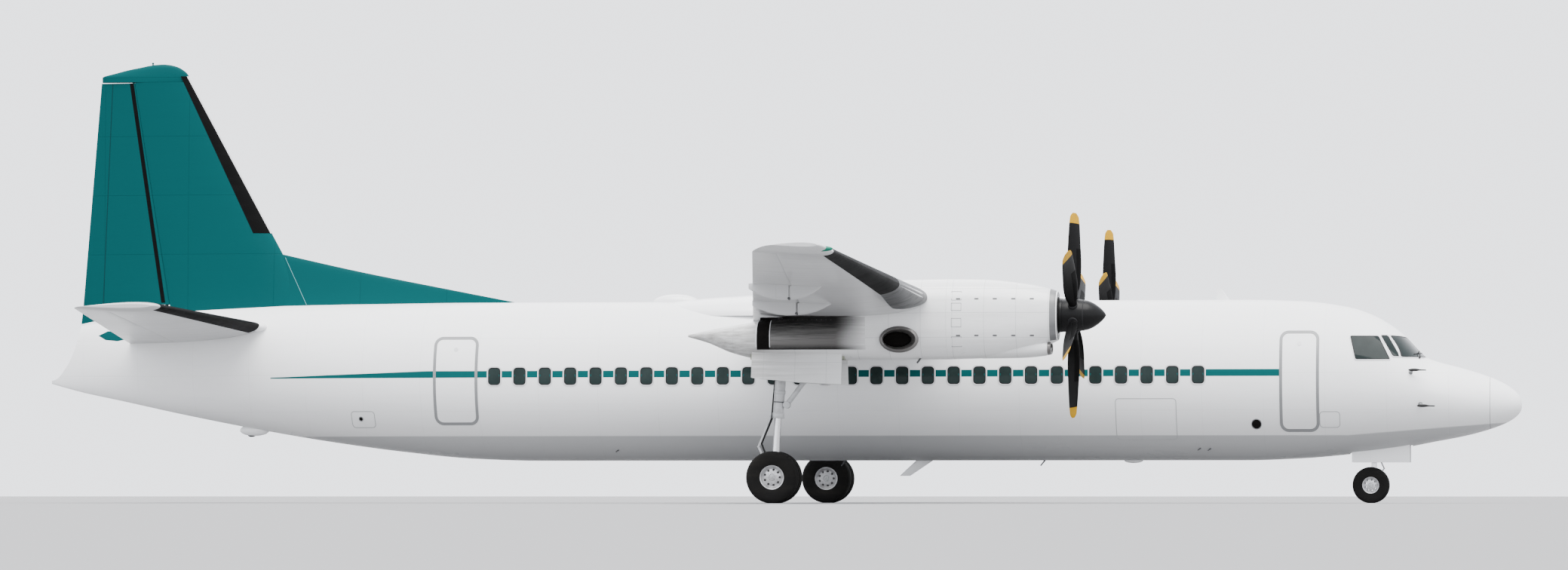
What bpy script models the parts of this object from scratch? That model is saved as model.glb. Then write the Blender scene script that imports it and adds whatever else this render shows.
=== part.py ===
"""Twin turboprop airliner with a high wing, parked on its landing gear.

Metres: +X towards the nose, +Y to port, +Z up. The origin is on the ground under the middle of
the overall length. Heights in the tables are above the belly, and up() lifts them to the ground frame.
"""

import math

import bmesh
import bpy
from mathutils import Matrix, Vector

# Overall sizes
HALF_LENGTH = 12.625
HALF_SPAN = 14.5
BELLY_HEIGHT = 0.72
PORT = 1
STARBOARD = -1
SIDES = (("left", PORT), ("right", STARBOARD))

# Gaps between solids
SEAT = 0.0003
FIT = 0.0006
WING_FIT = 0.0009
SWING = 0.012

# Fuselage
RING_POINTS = 24
RADOME_SEAM_X = 12.10
DOOR_DEPTH = 0.10
STAIR_DEPTH = 0.20
GLASS_DEPTH = 0.06

# columns: x, top, bottom, half width, height of the widest line
FUSELAGE_SECTIONS = (
    (-12.625, 2.24, 1.335, 0.03, 1.75),
    (-12.10, 2.34, 1.19, 0.16, 1.75),
    (-11.40, 2.46, 1.04, 0.32, 1.72),
    (-10.30, 2.62, 0.80, 0.58, 1.66),
    (-9.00, 2.67, 0.545, 0.86, 1.58),
    (-7.70, 2.69, 0.325, 1.09, 1.50),
    (-6.40, 2.70, 0.15, 1.25, 1.42),
    (-5.20, 2.71, 0.035, 1.335, 1.37),
    (-4.10, 2.71, 0.0, 1.355, 1.355),
    (8.00, 2.71, 0.0, 1.355, 1.355),
    (9.00, 2.68, 0.035, 1.33, 1.34),
    (9.75, 2.60, 0.10, 1.27, 1.30),
    (10.15, 2.48, 0.14, 1.225, 1.27),
    (10.60, 2.23, 0.20, 1.155, 1.22),
    (10.90, 1.92, 0.255, 1.08, 1.16),
    (11.20, 1.665, 0.315, 0.98, 1.08),
    (11.65, 1.54, 0.40, 0.80, 1.00),
    (12.00, 1.43, 0.49, 0.63, 0.96),
    (12.30, 1.31, 0.60, 0.45, 0.94),
    (12.50, 1.16, 0.72, 0.27, 0.93),
    (12.625, 0.98, 0.88, 0.06, 0.93),
)

# The round middle of the fuselage
CABIN_RADIUS = FUSELAGE_SECTIONS[8][3]
CABIN_CENTRE_Z = FUSELAGE_SECTIONS[8][4]

# The hollow edge between the rudder's foot and the tip of the tail, as x and height
TAIL_EDGE = (
    (-12.095, 2.60),
    (-12.095, 2.34),
    (-12.15, 2.07),
    (-12.26, 1.77),
    (-12.41, 1.54),
    (-12.53, 1.42),
    (-12.70, 1.37),
    (-12.90, 1.37),
    (-12.90, 2.60),
)

# The band of cockpit windows seen from the side, as x and height
GLASS_BAND = ((9.80, 2.065), (11.10, 2.065), (11.25, 1.745), (10.60, 1.70), (9.87, 1.665))

# columns: name, side, front x, rear x, sill, head
PLUG_DOORS = (
    ("service_door", STARBOARD, 9.27, 8.65, 0.49, 2.14),
    ("aft_door_left", PORT, -4.94, -5.67, 0.62, 2.08),
    ("aft_door_right", STARBOARD, -4.94, -5.67, 0.62, 2.08),
)
STAIR_DOOR = ("passenger_door", PORT, 9.27, 8.51, 0.49, 2.27)
STAIR_STEPS = 6
HINGE_RADIUS = 0.022

# Wing
WING_ROOT_NOSE = (3.19, 2.62)
WING_ROOT_TAIL = (-0.39, 2.375)
WING_SWEEP_NOSE = -0.0338
WING_SWEEP_TAIL = 0.1352
WING_RISE_NOSE = 0.0400
WING_RISE_TAIL = 0.0635
WING_BEND_Y = 3.6
WING_TIP_START = 13.98
# columns: distance out, chord left, lift
WING_TIP_RINGS = ((14.25, 0.93, 0.01), (14.42, 0.80, 0.03), (HALF_SPAN, 0.60, 0.045))
WING_THICKNESS = (0.195, 0.145)
WING_CAMBER = 0.018
WING_HINGE = 0.72
AILERON_SPAN = (9.30, 13.95)
OUTER_FLAP_SPAN = (4.29, 9.20)
INNER_FLAP_SPAN = (1.46, 2.93)
RIB_GAP = 0.014
FLAP_GAP = 0.028
OUTER_FLAP_DROP = 0.30
INNER_FLAP_DROP = 0.36
# columns: station, front x, rear x, half width
FLAP_FAIRINGS = ((6.20, 1.84, 0.47, 0.075), (9.05, 1.97, 0.80, 0.065))
INNER_BRACKET = (2.20, 0.40, 0.05)

# Fin and rudder, x at the foot and the top of each line
FIN_FOOT_Z = 2.55
FIN_TOP_Z = 6.54
FIN_NOSE = ((2.66, -8.12), (3.54, -8.55), (6.61, -10.22))
RUDDER_HINGE = ((2.69, -10.60), (6.54, -11.20))
RUDDER_TAIL = ((2.34, -12.11), (2.69, -12.07), (6.54, -11.76))
RUDDER_FOOT_Z = 2.70
RUDDER_PIN_Z = 2.5795
FIN_THICKNESS = 0.11
# columns: height, front x, rear x, half width
FIN_CAP_RINGS = (
    (FIN_TOP_Z, -10.22, -11.75, 0.078),
    (6.66, -10.27, -11.76, 0.07),
    (6.78, -10.40, -11.62, 0.05),
    (6.85, -10.68, -11.20, 0.02),
)

# Tailplane and elevators
TAIL_ROOT_Y = 0.20
TAIL_TIP_Y = 4.87
ELEVATOR_SPAN = (0.62, 4.62)
TAIL_THICKNESS = 0.11

# Power plants
ENGINE_Y = 3.60
HUB_HEIGHT = 2.36
FIREWALL_X = 3.35
COWL_LIP_X = 5.15
COWL_WALL = 0.03
HUB_BACK_X = 5.21
SPINNER_BACK_X = 5.56
SPINNER_TIP_X = 5.89
HUB_RADIUS = 0.275
PROP_RADIUS = 1.69
PROP_X = 5.40
BLADES = 6
PROP_REST_TURN = {PORT: 0.0, STARBOARD: -5.0}

# columns: radius, chord, thickness, pitch from the disc's plane
BLADE_SECTIONS = (
    (0.20, 0.13, 0.12, 62),
    (0.36, 0.15, 0.11, 60),
    (0.55, 0.24, 0.06, 54),
    (0.90, 0.30, 0.035, 45),
    (1.40, 0.28, 0.022, 36),
    (1.62, 0.24, 0.014, 32),
    (PROP_RADIUS, 0.15, 0.010, 31),
)

# columns: x, top, bottom, half width
NACELLE_SECTIONS = (
    (-0.98, 2.06, 2.02, 0.03),
    (-0.64, 2.13, 1.92, 0.20),
    (-0.26, 2.20, 1.76, 0.35),
    (0.12, 2.26, 1.67, 0.46),
    (0.70, 2.36, 1.65, 0.53),
    (1.50, 2.62, 1.64, 0.57),
    (2.35, 2.94, 1.63, 0.58),
    (FIREWALL_X, 2.96, 1.64, 0.58),
)
COWL_SECTIONS = (
    (FIREWALL_X + SEAT, 2.96, 1.64, 0.58),
    (3.95, 2.95, 1.66, 0.57),
    (4.61, 2.88, 1.76, 0.51),
    (5.00, 2.80, 1.88, 0.44),
    (COWL_LIP_X, 2.75, 1.95, 0.39),
)
CHIN_SECTIONS = (
    (3.90, 2.10, 1.652, 0.30),
    (4.50, 2.00, 1.66, 0.32),
    (4.90, 1.96, 1.69, 0.31),
    (5.02, 1.93, 1.72, 0.29),
)
EXHAUST_AT = (2.58, 1.96)
EXHAUST_RADII = (0.29, 0.185)
EXHAUST_WALL = 0.025

# Landing gear
WHEEL_FACETS = 22
MAIN_X = 0.45
MAIN_TYRE = (0.43, 0.20, 0.25)
MAIN_WHEEL_Y = 0.225
MAIN_BAY = (0.10, 1.65, 0.33, 2.86)
NOSE_X = 10.15
NOSE_TYRE = (0.305, 0.14, 0.17)
NOSE_WHEEL_Y = 0.16
NOSE_TRAIL = 0.05
NOSE_BAY = (9.75, 10.80, 0.24, 1.50)
NOSE_LEG_FOOT = 0.80
DOOR_PLATE = 0.022
BOSS_HALF = 0.06

PARTS = bpy.data.collections.new("turboprop_airliner")
MATERIALS = {}


def up(height):
    """The height above the ground of a height above the belly."""
    return height + BELLY_HEIGHT


def clear_scene():
    for obj in list(bpy.data.objects):
        bpy.data.objects.remove(obj, do_unlink=True)
    bpy.context.scene.collection.children.link(PARTS)


def material(name, colour, roughness, metallic=0.0):
    found = bpy.data.materials.new(name)
    found.use_nodes = True
    shader = found.node_tree.nodes["Principled BSDF"]
    shader.inputs["Base Color"].default_value = (*colour, 1.0)
    shader.inputs["Roughness"].default_value = roughness
    shader.inputs["Metallic"].default_value = metallic
    MATERIALS[name] = found


def make_materials():
    material("white_paint", (0.86, 0.87, 0.88), 0.3)
    material("teal_paint", (0.02, 0.22, 0.24), 0.3)
    material("wing_paint", (0.72, 0.74, 0.76), 0.4)
    material("dark_glass", (0.05, 0.07, 0.07), 0.1)
    material("black_blade", (0.02, 0.02, 0.02), 0.45)
    material("sooty_steel", (0.25, 0.24, 0.23), 0.4, 0.9)
    material("gear_steel", (0.6, 0.61, 0.62), 0.4, 0.8)
    material("wheel_alloy", (0.75, 0.75, 0.76), 0.35, 0.8)
    material("tyre_rubber", (0.03, 0.03, 0.03), 0.85)
    material("engine_cast", (0.3, 0.3, 0.31), 0.5, 0.7)


def from_bmesh(name, build):
    bmesh.ops.recalc_face_normals(build, faces=build.faces)
    mesh = bpy.data.meshes.new(name)
    build.to_mesh(mesh)
    build.free()
    obj = bpy.data.objects.new(name, mesh)
    PARTS.objects.link(obj)
    return obj


def loft(name, rings):
    """A closed skin through rings that all have the same number of points."""
    build = bmesh.new()
    rows = [[build.verts.new(point) for point in ring] for ring in rings]
    for near, far in zip(rows, rows[1:]):
        for i in range(len(near)):
            j = (i + 1) % len(near)
            build.faces.new((near[i], near[j], far[j], far[i]))
    build.faces.new(rows[0][::-1])
    build.faces.new(rows[-1])
    bmesh.ops.triangulate(build, faces=[face for face in build.faces if len(face.verts) == 4],
                          quad_method="FIXED")
    return from_bmesh(name, build)


def prism(name, outline, low_y, high_y):
    """A side outline of x and height, carried across from one y to another."""
    return loft(name, [[(x, y, up(height)) for x, height in outline] for y in (low_y, high_y)])


def block(name, low, high):
    build = bmesh.new()
    size = [b - a for a, b in zip(low, high)]
    centre = [(a + b) / 2 for a, b in zip(low, high)]
    bmesh.ops.create_cube(build, size=1.0, matrix=Matrix.Translation(centre) @ Matrix.Diagonal((*size, 1)))
    return from_bmesh(name, build)


def rod(name, start, end, radius, end_radius=None, facets=12):
    """A round bar or cone between two points."""
    start, end = Vector(start), Vector(end)
    turn = (end - start).to_track_quat("Z", "X").to_matrix().to_4x4()
    build = bmesh.new()
    bmesh.ops.create_cone(build, cap_ends=True, segments=facets, radius1=radius,
                          radius2=radius if end_radius is None else end_radius, depth=(end - start).length,
                          matrix=Matrix.Translation((start + end) / 2) @ turn)
    return from_bmesh(name, build)


def turned(name, profile, centre, axis, facets):
    """A profile of radius and distance along the axis, turned about the axis through a centre.

    With 22 facets a wheel has a flat side at the bottom.
    """
    mesh = bpy.data.meshes.new(name)
    points = [(radius, 0.0, along) for radius, along in profile]
    on_axis = profile[0][0] == 0.0
    edges = [(i, i + 1) for i in range(len(points) - 1)]
    if not on_axis:
        edges.append((len(points) - 1, 0))
    mesh.from_pydata(points, edges, [])
    obj = bpy.data.objects.new(name, mesh)
    PARTS.objects.link(obj)
    screw = obj.modifiers.new("turn", "SCREW")
    screw.steps = facets
    screw.render_steps = facets
    screw.use_merge_vertices = True
    screw.merge_threshold = 0.0001
    apply_modifiers(obj)
    quarter = Matrix.Rotation(math.pi / 2, 4, "Y") if axis == "X" else Matrix.Rotation(math.pi / 2, 4, "X")
    obj.data.transform(Matrix.Translation(centre) @ quarter)
    return outward(obj)


def apply_modifiers(obj):
    graph = bpy.context.evaluated_depsgraph_get()
    mesh = bpy.data.meshes.new_from_object(obj.evaluated_get(graph))
    obj.modifiers.clear()
    obj.data = mesh


def outward(obj):
    build = bmesh.new()
    build.from_mesh(obj.data)
    bmesh.ops.remove_doubles(build, verts=build.verts, dist=0.00002)
    bmesh.ops.recalc_face_normals(build, faces=build.faces)
    build.to_mesh(obj.data)
    build.free()
    return obj


def combine(target, tools, operation):
    """The target with each tool added, cut away or shared, and the tools removed."""
    for tool in tools:
        modifier = target.modifiers.new("shape", "BOOLEAN")
        modifier.operation = operation
        modifier.solver = "EXACT"
        modifier.object = tool
        apply_modifiers(target)
        bpy.data.objects.remove(tool, do_unlink=True)
    return target


def join(target, *tools):
    return combine(target, tools, "UNION")


def cut(target, *tools):
    return combine(target, tools, "DIFFERENCE")


def share(target, *tools):
    return combine(target, tools, "INTERSECT")


def keep(obj, name, paint, origin=(0.0, 0.0, 0.0)):
    """Names a finished piece, gives it its finish and puts its origin where it turns or sits."""
    obj.name = name
    obj.data.name = name
    obj.data.transform(Matrix.Translation(-Vector(origin)))
    obj.location = origin
    obj.data.materials.clear()
    obj.data.materials.append(MATERIALS[paint])
    obj.data.shade_smooth()
    obj.data.set_sharp_from_angle(angle=math.radians(35))
    return obj


def fuselage_ring(x, top, bottom, half_width, widest, grow):
    ring = []
    for i in range(RING_POINTS):
        turn = 2 * math.pi * i / RING_POINTS
        rise = math.sin(turn)
        reach = (top - widest if rise > 0 else widest - bottom) + grow
        ring.append((x, (half_width + grow) * math.cos(turn), up(widest + reach * rise)))
    return ring


def fuselage_skin(name, grow=0.0):
    """The whole fuselage, with its skin moved out or in by grow."""
    sections = FUSELAGE_SECTIONS
    if grow < 0:
        sections = [section for section in sections if min(section[3], (section[1] - section[2]) / 2) + grow > 0.05]
    return loft(name, [fuselage_ring(*section, grow) for section in sections])


def door_box(name, side, front_x, rear_x, sill, head, grow):
    """A block through one side of the fuselage, in the outline of a door."""
    near, far = sorted((0.6 * side, 1.6 * side))
    return block(name, (rear_x - grow, near, up(sill) - grow), (front_x + grow, far, up(head) + grow))


def panel_in_skin(name, side, front_x, rear_x, sill, head, depth):
    """A door panel: the outer skin inside the door's outline, as thick as depth."""
    panel = share(fuselage_skin(name), door_box("outline", side, front_x, rear_x, sill, head, 0.0))
    return cut(panel, fuselage_skin("inner", -depth + SEAT))


def recess_for(side, front_x, rear_x, sill, head, depth, gap):
    """The pocket that a door panel lies in."""
    pocket = door_box("pocket", side, front_x, rear_x, sill, head, gap)
    return cut(pocket, fuselage_skin("core", -depth))


def stair_hinge_axis():
    """A point on the stair door's hinge line, at the sill just outside the skin."""
    _, side, front_x, rear_x, sill, _ = STAIR_DOOR
    reach = math.sqrt(CABIN_RADIUS ** 2 - (CABIN_CENTRE_Z - sill) ** 2)
    return Vector(((front_x + rear_x) / 2, side * (reach + 0.024), up(sill)))


def stair_lug_ends():
    """The x of each end of the two lugs that hold the stair door's barrel."""
    half = (STAIR_DOOR[2] - STAIR_DOOR[3]) / 2 - 0.06
    middle = stair_hinge_axis().x
    return [sorted((middle + end * (half + SEAT), middle + end * (half + 0.05))) for end in (-1, 1)]


def make_fuselage():
    body = fuselage_skin("fuselage")
    nose = share(fuselage_skin("radome"), block("ahead", (RADOME_SEAM_X + SEAT, -2, 0), (14, 2, 4)))
    cut(body, block("ahead", (RADOME_SEAM_X, -2, 0), (14, 2, 4)))
    cut(body, prism("behind", TAIL_EDGE, -1, 1))

    glazing = share(fuselage_skin("glazing"), prism("band", GLASS_BAND, -2, 2))
    cut(glazing, fuselage_skin("inner", -GLASS_DEPTH + FIT))
    pocket = prism("band", [(x + (0.0006 if x > 10 else -0.0006), h + (0.0006 if h > 2 else -0.0006))
                            for x, h in GLASS_BAND], -2, 2)
    cut(body, cut(pocket, fuselage_skin("core", -GLASS_DEPTH)))

    for name, *where in PLUG_DOORS:
        cut(body, recess_for(*where, DOOR_DEPTH, FIT))
        keep(panel_in_skin(name, *where, DOOR_DEPTH), name, "white_paint")
    cut(body, recess_for(*STAIR_DOOR[1:], STAIR_DEPTH, SWING))

    bay_rear, bay_front, bay_half, bay_top = NOSE_BAY
    cut(body, block("nose_bay", (bay_rear, -bay_half, 0.5), (bay_front, bay_half, bay_top)))

    hinge = stair_hinge_axis()
    for low_x, high_x in stair_lug_ends():
        join(body, rod("lug", (low_x, hinge.y, hinge.z), (high_x, hinge.y, hinge.z), HINGE_RADIUS),
             block("web", (low_x, hinge.y - 0.13, hinge.z - 0.06), (high_x, hinge.y, hinge.z - 0.002)))
    keep(nose, "radome", "white_paint")
    keep(glazing, "cockpit_glazing", "dark_glass")
    return body


def make_stair_door():
    """The forward passenger door, which drops on its sill hinge and carries the steps."""
    name, side, front_x, rear_x, sill, head = STAIR_DOOR
    door = panel_in_skin(name, side, front_x, rear_x, sill, head, DOOR_DEPTH)
    inset = 0.08
    for i in range(STAIR_STEPS):
        height = sill + (head - sill) * (i + 0.8) / (STAIR_STEPS + 0.6)
        reach = math.sqrt((CABIN_RADIUS - 0.05) ** 2 - (height - CABIN_CENTRE_Z) ** 2)
        join(door, block("step", (rear_x + inset, side * (reach - 0.055) - 0.055, up(height) - 0.015),
                         (front_x - inset, side * (reach - 0.055) + 0.055, up(height) + 0.015)))
    hinge = stair_hinge_axis()
    half = Vector(((front_x - rear_x) / 2 - 0.06, 0, 0))
    for low_x, high_x in stair_lug_ends():
        cut(door, rod("lug_room", (low_x - 0.006, hinge.y, hinge.z), (high_x + 0.006, hinge.y, hinge.z),
                      HINGE_RADIUS + 0.006))
    join(door, rod("barrel", hinge - half, hinge + half, HINGE_RADIUS),
         block("strap", (hinge.x - half.x, hinge.y - 0.07, hinge.z + 0.002),
               (hinge.x + half.x, hinge.y, hinge.z + 0.03)))
    keep(door, name, "white_paint", hinge)


def section_at(share_of_chord, thickness):
    """Half thickness and camber of the aerofoil, as shares of the chord."""
    x = share_of_chord
    half = 5 * thickness * (0.2969 * math.sqrt(x) - 0.126 * x - 0.3516 * x * x
                            + 0.2843 * x ** 3 - 0.1036 * x ** 4) + 0.002 * x
    return half


def panel_ring(nose, tail, across, thickness, camber, start, end, grow=0.0, cove=0.0, round_nose=False):
    """One section of a wing, fin or tail panel between two shares of the chord.

    nose and tail are the ends of the whole chord. across is the direction of its thickness. A round
    nose is centred on the hinge at start, and a cove at end leaves that nose free by the value of cove.
    """
    chord_line = tail - nose
    chord = chord_line.length

    def skin(x, face):
        half = section_at(x, thickness) * chord + grow
        bow = 4 * camber * x * (1 - x) * chord
        return nose + chord_line * x + across * (face * half + bow)

    def arc(x, radius, angles):
        """Points round the hinge at a share of the chord, from angles that start at the tail side."""
        back = chord_line.normalized()
        middle = nose + chord_line * x + across * (4 * camber * x * (1 - x) * chord)
        return [middle + back * (radius * math.cos(a)) + across * (radius * math.sin(a)) for a in angles]

    steps = [0.0, 0.015, 0.07, 0.22, 0.48, 0.72, 0.87, 1.0]
    inner = [x for x in steps if start + 0.02 < x < end - 0.02]
    points = []
    if end < 1.0 and cove:
        radius = section_at(end, thickness) * chord + cove
        last = end - radius * 0.5 / chord
        inner = [x for x in inner if x < last - 0.02]
        lip = [math.radians(angle) for angle in (120, 150, 180, 210, 240)]
        points += arc(end, radius, lip)
        points += [skin(x, -1) for x in reversed(inner)]
    else:
        points += [skin(end, 1), skin(end, -1)]
        points += [skin(x, -1) for x in reversed(inner)]
    if start == 0.0:
        points += [nose - chord_line.normalized() * grow]
    elif round_nose:
        radius = section_at(start, thickness) * chord
        points += arc(start, radius, [math.radians(angle) for angle in (270, 225, 180, 135, 90)])
    points += [skin(x, 1) for x in inner]
    return points


def wing_chord(y):
    """The nose and tail of the wing's chord at a distance from the middle."""
    bend = max(0.0, y - WING_BEND_Y)
    nose = Vector((WING_ROOT_NOSE[0] + WING_SWEEP_NOSE * y, y, up(WING_ROOT_NOSE[1] + WING_RISE_NOSE * bend)))
    tail = Vector((WING_ROOT_TAIL[0] + WING_SWEEP_TAIL * y, y, up(WING_ROOT_TAIL[1] + WING_RISE_TAIL * bend)))
    return nose, tail


def wing_thickness(y):
    return WING_THICKNESS[0] + (WING_THICKNESS[1] - WING_THICKNESS[0]) * y / HALF_SPAN


def wing_ring(y, start=0.0, end=1.0, **form):
    nose, tail = wing_chord(y)
    across = Vector((0, 0, 1))
    return panel_ring(nose, tail, across, wing_thickness(y), WING_CAMBER, start, end, **form)


def sided(rings, side):
    return [[(x, side * y, z) for x, y, z in ring] for ring in rings]


def wing_hinge(y):
    """The hinge of a flap or aileron at a distance from the middle, in the middle of the thickness."""
    nose, tail = wing_chord(y)
    bow = 4 * WING_CAMBER * WING_HINGE * (1 - WING_HINGE) * (tail - nose).length
    return nose + (tail - nose) * WING_HINGE + Vector((0, 0, bow))


def bay_cutter(name, span, side, hinge, radius, tail):
    """What is cut away for a flap, aileron or elevator: all behind the cove, out past the tail.

    hinge, radius and tail are functions of the station.
    """
    rings = []
    for y in span:
        middle = hinge(y)
        back = (tail(y) - middle).normalized()
        reach = radius(y) + SWING
        arc = [middle + back * (reach * math.cos(a)) + Vector((0, 0, reach * math.sin(a)))
               for a in (math.radians(angle) for angle in (110, 130, 155, 180, 205, 230, 250))]
        high = Vector((0, 0, 0.4))
        far = tail(y) + back * 0.5
        rings.append([arc[0] + high, *arc, arc[-1] - high, far - high, far + high])
    return loft(name, sided(rings, side))


def wing_nose_radius(y):
    """The radius of a flap's or aileron's nose: half the wing's thickness at the hinge."""
    nose, tail = wing_chord(y)
    return section_at(WING_HINGE, wing_thickness(y)) * (tail - nose).length


def wing_bay(span, side, gap):
    walls = (span[0] - gap, span[1] + gap)
    return bay_cutter("bay", walls, side, wing_hinge, wing_nose_radius, lambda y: wing_chord(y)[1])


def bar_on_line(name, line, low_y, high_y, side, radius, facets=10):
    """A round bar along a hinge line, with its ends flat across Y and an edge facing forward."""
    rings = []
    for y in (low_y, high_y):
        middle = line(y)
        rings.append([(middle.x + radius * math.cos(t), side * middle.y, middle.z + radius * math.sin(t))
                      for t in (2 * math.pi * i / facets for i in range(facets))])
    return loft(name, rings)


def end_pins(obj, line, span, side, reach, radius=0.018):
    """Stub pins on the hinge line, from a surface's ends to the walls of its bay.

    Their ends are square to the hinge line, which slants, so an end's edge meets the wall.
    """
    axis = (line(span[1]) - line(span[0])).normalized()
    short = (2 * SEAT + radius * math.sqrt(1 - axis.y ** 2)) / axis.y
    ends = (line(span[0] - reach) + axis * short, line(span[0] + 0.05),
            line(span[1] - 0.05), line(span[1] + reach) - axis * short)
    points = [Vector((p.x, side * p.y, p.z)) for p in ends]
    return join(obj, rod("pin", points[0], points[1], radius), rod("pin", points[2], points[3], radius))


def make_wing():
    halves = []
    for name, side in SIDES:
        half = loft(name, sided([wing_ring(y) for y in (0.0, WING_BEND_Y)], side))
        cut(half, wing_bay(INNER_FLAP_SPAN, side, FLAP_GAP),
            block("end", (-2, side * (WING_BEND_Y - SEAT) - (2 if side < 0 else 0), 2),
                  (5, side * (WING_BEND_Y - SEAT) + (2 if side > 0 else 0), 5)))
        halves.append(half)
    centre = join(*halves)
    fairing = loft("root_fairing", [
        [(x, half * math.cos(t), up(2.45 + (top - 2.45) * math.sin(t))) for t in
         (math.pi * i / 8 for i in range(9))]
        for x, top, half in ((-1.9, 2.70, 0.5), (-1.0, 2.78, 0.8), (0.6, 2.86, 0.95), (3.2, 2.86, 0.95),
                             (4.0, 2.76, 0.75), (4.7, 2.69, 0.4))])
    cut(fairing, fuselage_skin("below", FIT))
    join(centre, fairing)
    return centre


def make_outer_wing(name, side):
    rings = [wing_ring(y) for y in (WING_BEND_Y, WING_TIP_START)]
    for y, shrink, lift in WING_TIP_RINGS:
        ring = wing_ring(y)
        middle = sum((Vector(p) for p in ring), Vector()) / len(ring)
        rings.append([(middle.x + (p[0] - middle.x) * shrink, p[1], middle.z + (p[2] - middle.z) * shrink ** 2 + lift)
                      for p in ring])
    wing = loft(name, sided(rings, side))
    cut(wing, wing_bay(OUTER_FLAP_SPAN, side, FLAP_GAP), wing_bay(AILERON_SPAN, side, RIB_GAP))
    for station, front_x, _, half in FLAP_FAIRINGS:
        pivot = flap_pivot(station, OUTER_FLAP_DROP)
        nose, tail = wing_chord(station)
        tip_z = nose.z + (tail.z - nose.z) * (nose.x - front_x) / (nose.x - tail.x)
        face_x = pivot_face_x(station, OUTER_FLAP_DROP, half)
        fairing = fairing_half("fairing", side * station, half, (face_x, wing_hinge(station).z),
                               (front_x, tip_z), pivot.z - HINGE_RADIUS)
        join(wing, cut(fairing, nose_room(station, half, side)))
    return wing


def flap_pivot(y, drop):
    return wing_hinge(y) - Vector((0, 0, drop))


def pivot_face_x(station, drop, half):
    """Where the fixed half of a fairing ends, just clear of the slanting barrel behind it."""
    return flap_pivot(station + half, drop).x + HINGE_RADIUS + SEAT


def nose_room(station, half, side):
    """The space round a flap's nose that the fixed half of a fairing leaves free."""
    radius = wing_nose_radius(station) + SWING
    rings = []
    for y in (station - half - 0.02, station + half + 0.02):
        middle = wing_hinge(y)
        rings.append([(middle.x + radius * math.cos(t), side * y, middle.z + radius * math.sin(t))
                      for t in (2 * math.pi * i / 16 for i in range(16))])
    return loft("nose_room", rings)


def fairing_half(name, y, half, inner, tip, bottom_z):
    """Half of a flap track fairing, from a flat face at the pivot to its pointed tip.

    inner and tip are x and the height of the top, which lies inside the wing or the flap.
    """
    rings = []
    for part, size in ((0.0, 1.0), (0.45, 0.9), (0.8, 0.55), (1.0, 0.15)):
        x = inner[0] + (tip[0] - inner[0]) * part
        top = inner[1] + (tip[1] - inner[1]) * part
        low = top - (inner[1] - bottom_z) * (1 - 0.75 * part ** 2)
        rings.append([(x, y + half * size * across, z) for across, z in
                      ((-1, top), (-1, low + 0.012), (-0.8, low), (0.8, low), (1, low + 0.012), (1, top))])
    return loft(name, rings)


def make_aileron(name, side):
    rings = [wing_ring(y, start=WING_HINGE, round_nose=True) for y in AILERON_SPAN]
    aileron = loft(name, sided(rings, side))
    end_pins(aileron, wing_hinge, AILERON_SPAN, side, RIB_GAP)
    origin = wing_hinge(AILERON_SPAN[0])
    return keep(aileron, name, "wing_paint", (origin.x, side * origin.y, origin.z))


def barrel(flap, station, drop, half, side):
    """The pivot under a flap, which turns against the fixed half of its fairing."""
    return join(flap, bar_on_line("barrel", lambda y: flap_pivot(y, drop), station - half, station + half, side,
                                  HINGE_RADIUS, 12))


def make_outer_flap(name, side):
    rings = [wing_ring(y, start=WING_HINGE, round_nose=True) for y in OUTER_FLAP_SPAN]
    flap = loft(name, sided(rings, side))
    for station, _, rear_x, half in FLAP_FAIRINGS:
        pivot = flap_pivot(station, OUTER_FLAP_DROP)
        _, tail = wing_chord(station)
        join(flap, fairing_half("fairing", side * station, half, (pivot.x, wing_hinge(station).z),
                                (rear_x, tail.z), pivot.z - HINGE_RADIUS))
        barrel(flap, station, OUTER_FLAP_DROP, half, side)
    origin = flap_pivot(FLAP_FAIRINGS[0][0], OUTER_FLAP_DROP)
    return keep(flap, name, "wing_paint", (origin.x, side * origin.y, origin.z))


def make_inner_flap(name, side):
    rings = [wing_ring(y, start=WING_HINGE, round_nose=True) for y in INNER_FLAP_SPAN]
    flap = loft(name, sided(rings, side))
    station, reach, half = INNER_BRACKET
    pivot = flap_pivot(station, INNER_FLAP_DROP)
    join(flap, fairing_half("bracket", side * station, half, (pivot.x, wing_hinge(station).z),
                            (pivot.x - reach, wing_hinge(station).z - 0.05), pivot.z - HINGE_RADIUS))
    barrel(flap, station, INNER_FLAP_DROP, half, side)
    return keep(flap, name, "wing_paint", (pivot.x, side * pivot.y, pivot.z))


def add_inner_brackets(centre):
    """The fixed half of the bracket under each inner flap."""
    station, reach, half = INNER_BRACKET
    pivot = flap_pivot(station, INNER_FLAP_DROP)
    nose, tail = wing_chord(station)
    front_x = pivot.x + reach * 1.6
    tip_z = nose.z + (tail.z - nose.z) * (nose.x - front_x) / (nose.x - tail.x)
    for _, side in SIDES:
        bracket = fairing_half("bracket", side * station, half,
                               (pivot_face_x(station, INNER_FLAP_DROP, half), wing_hinge(station).z),
                               (front_x, tip_z),
                               pivot.z - HINGE_RADIUS)
        join(centre, cut(bracket, nose_room(station, half, side)))


def on_line(line, height):
    """The x of a line of (height, x) points at a height, going on straight past its ends."""
    low, high = line[0], line[1]
    for a, b in zip(line, line[1:]):
        low, high = a, b
        if height <= b[0]:
            break
    part = (height - low[0]) / (high[0] - low[0])
    return low[1] + (high[1] - low[1]) * part


def fin_ring(height, nose_line, tail_line, start=0.0, end=1.0, **form):
    nose = Vector((on_line(nose_line, height), 0, up(height)))
    tail = Vector((on_line(tail_line, height), 0, up(height)))
    return panel_ring(nose, tail, Vector((0, 1, 0)), FIN_THICKNESS, 0.0, start, end, **form)


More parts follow.
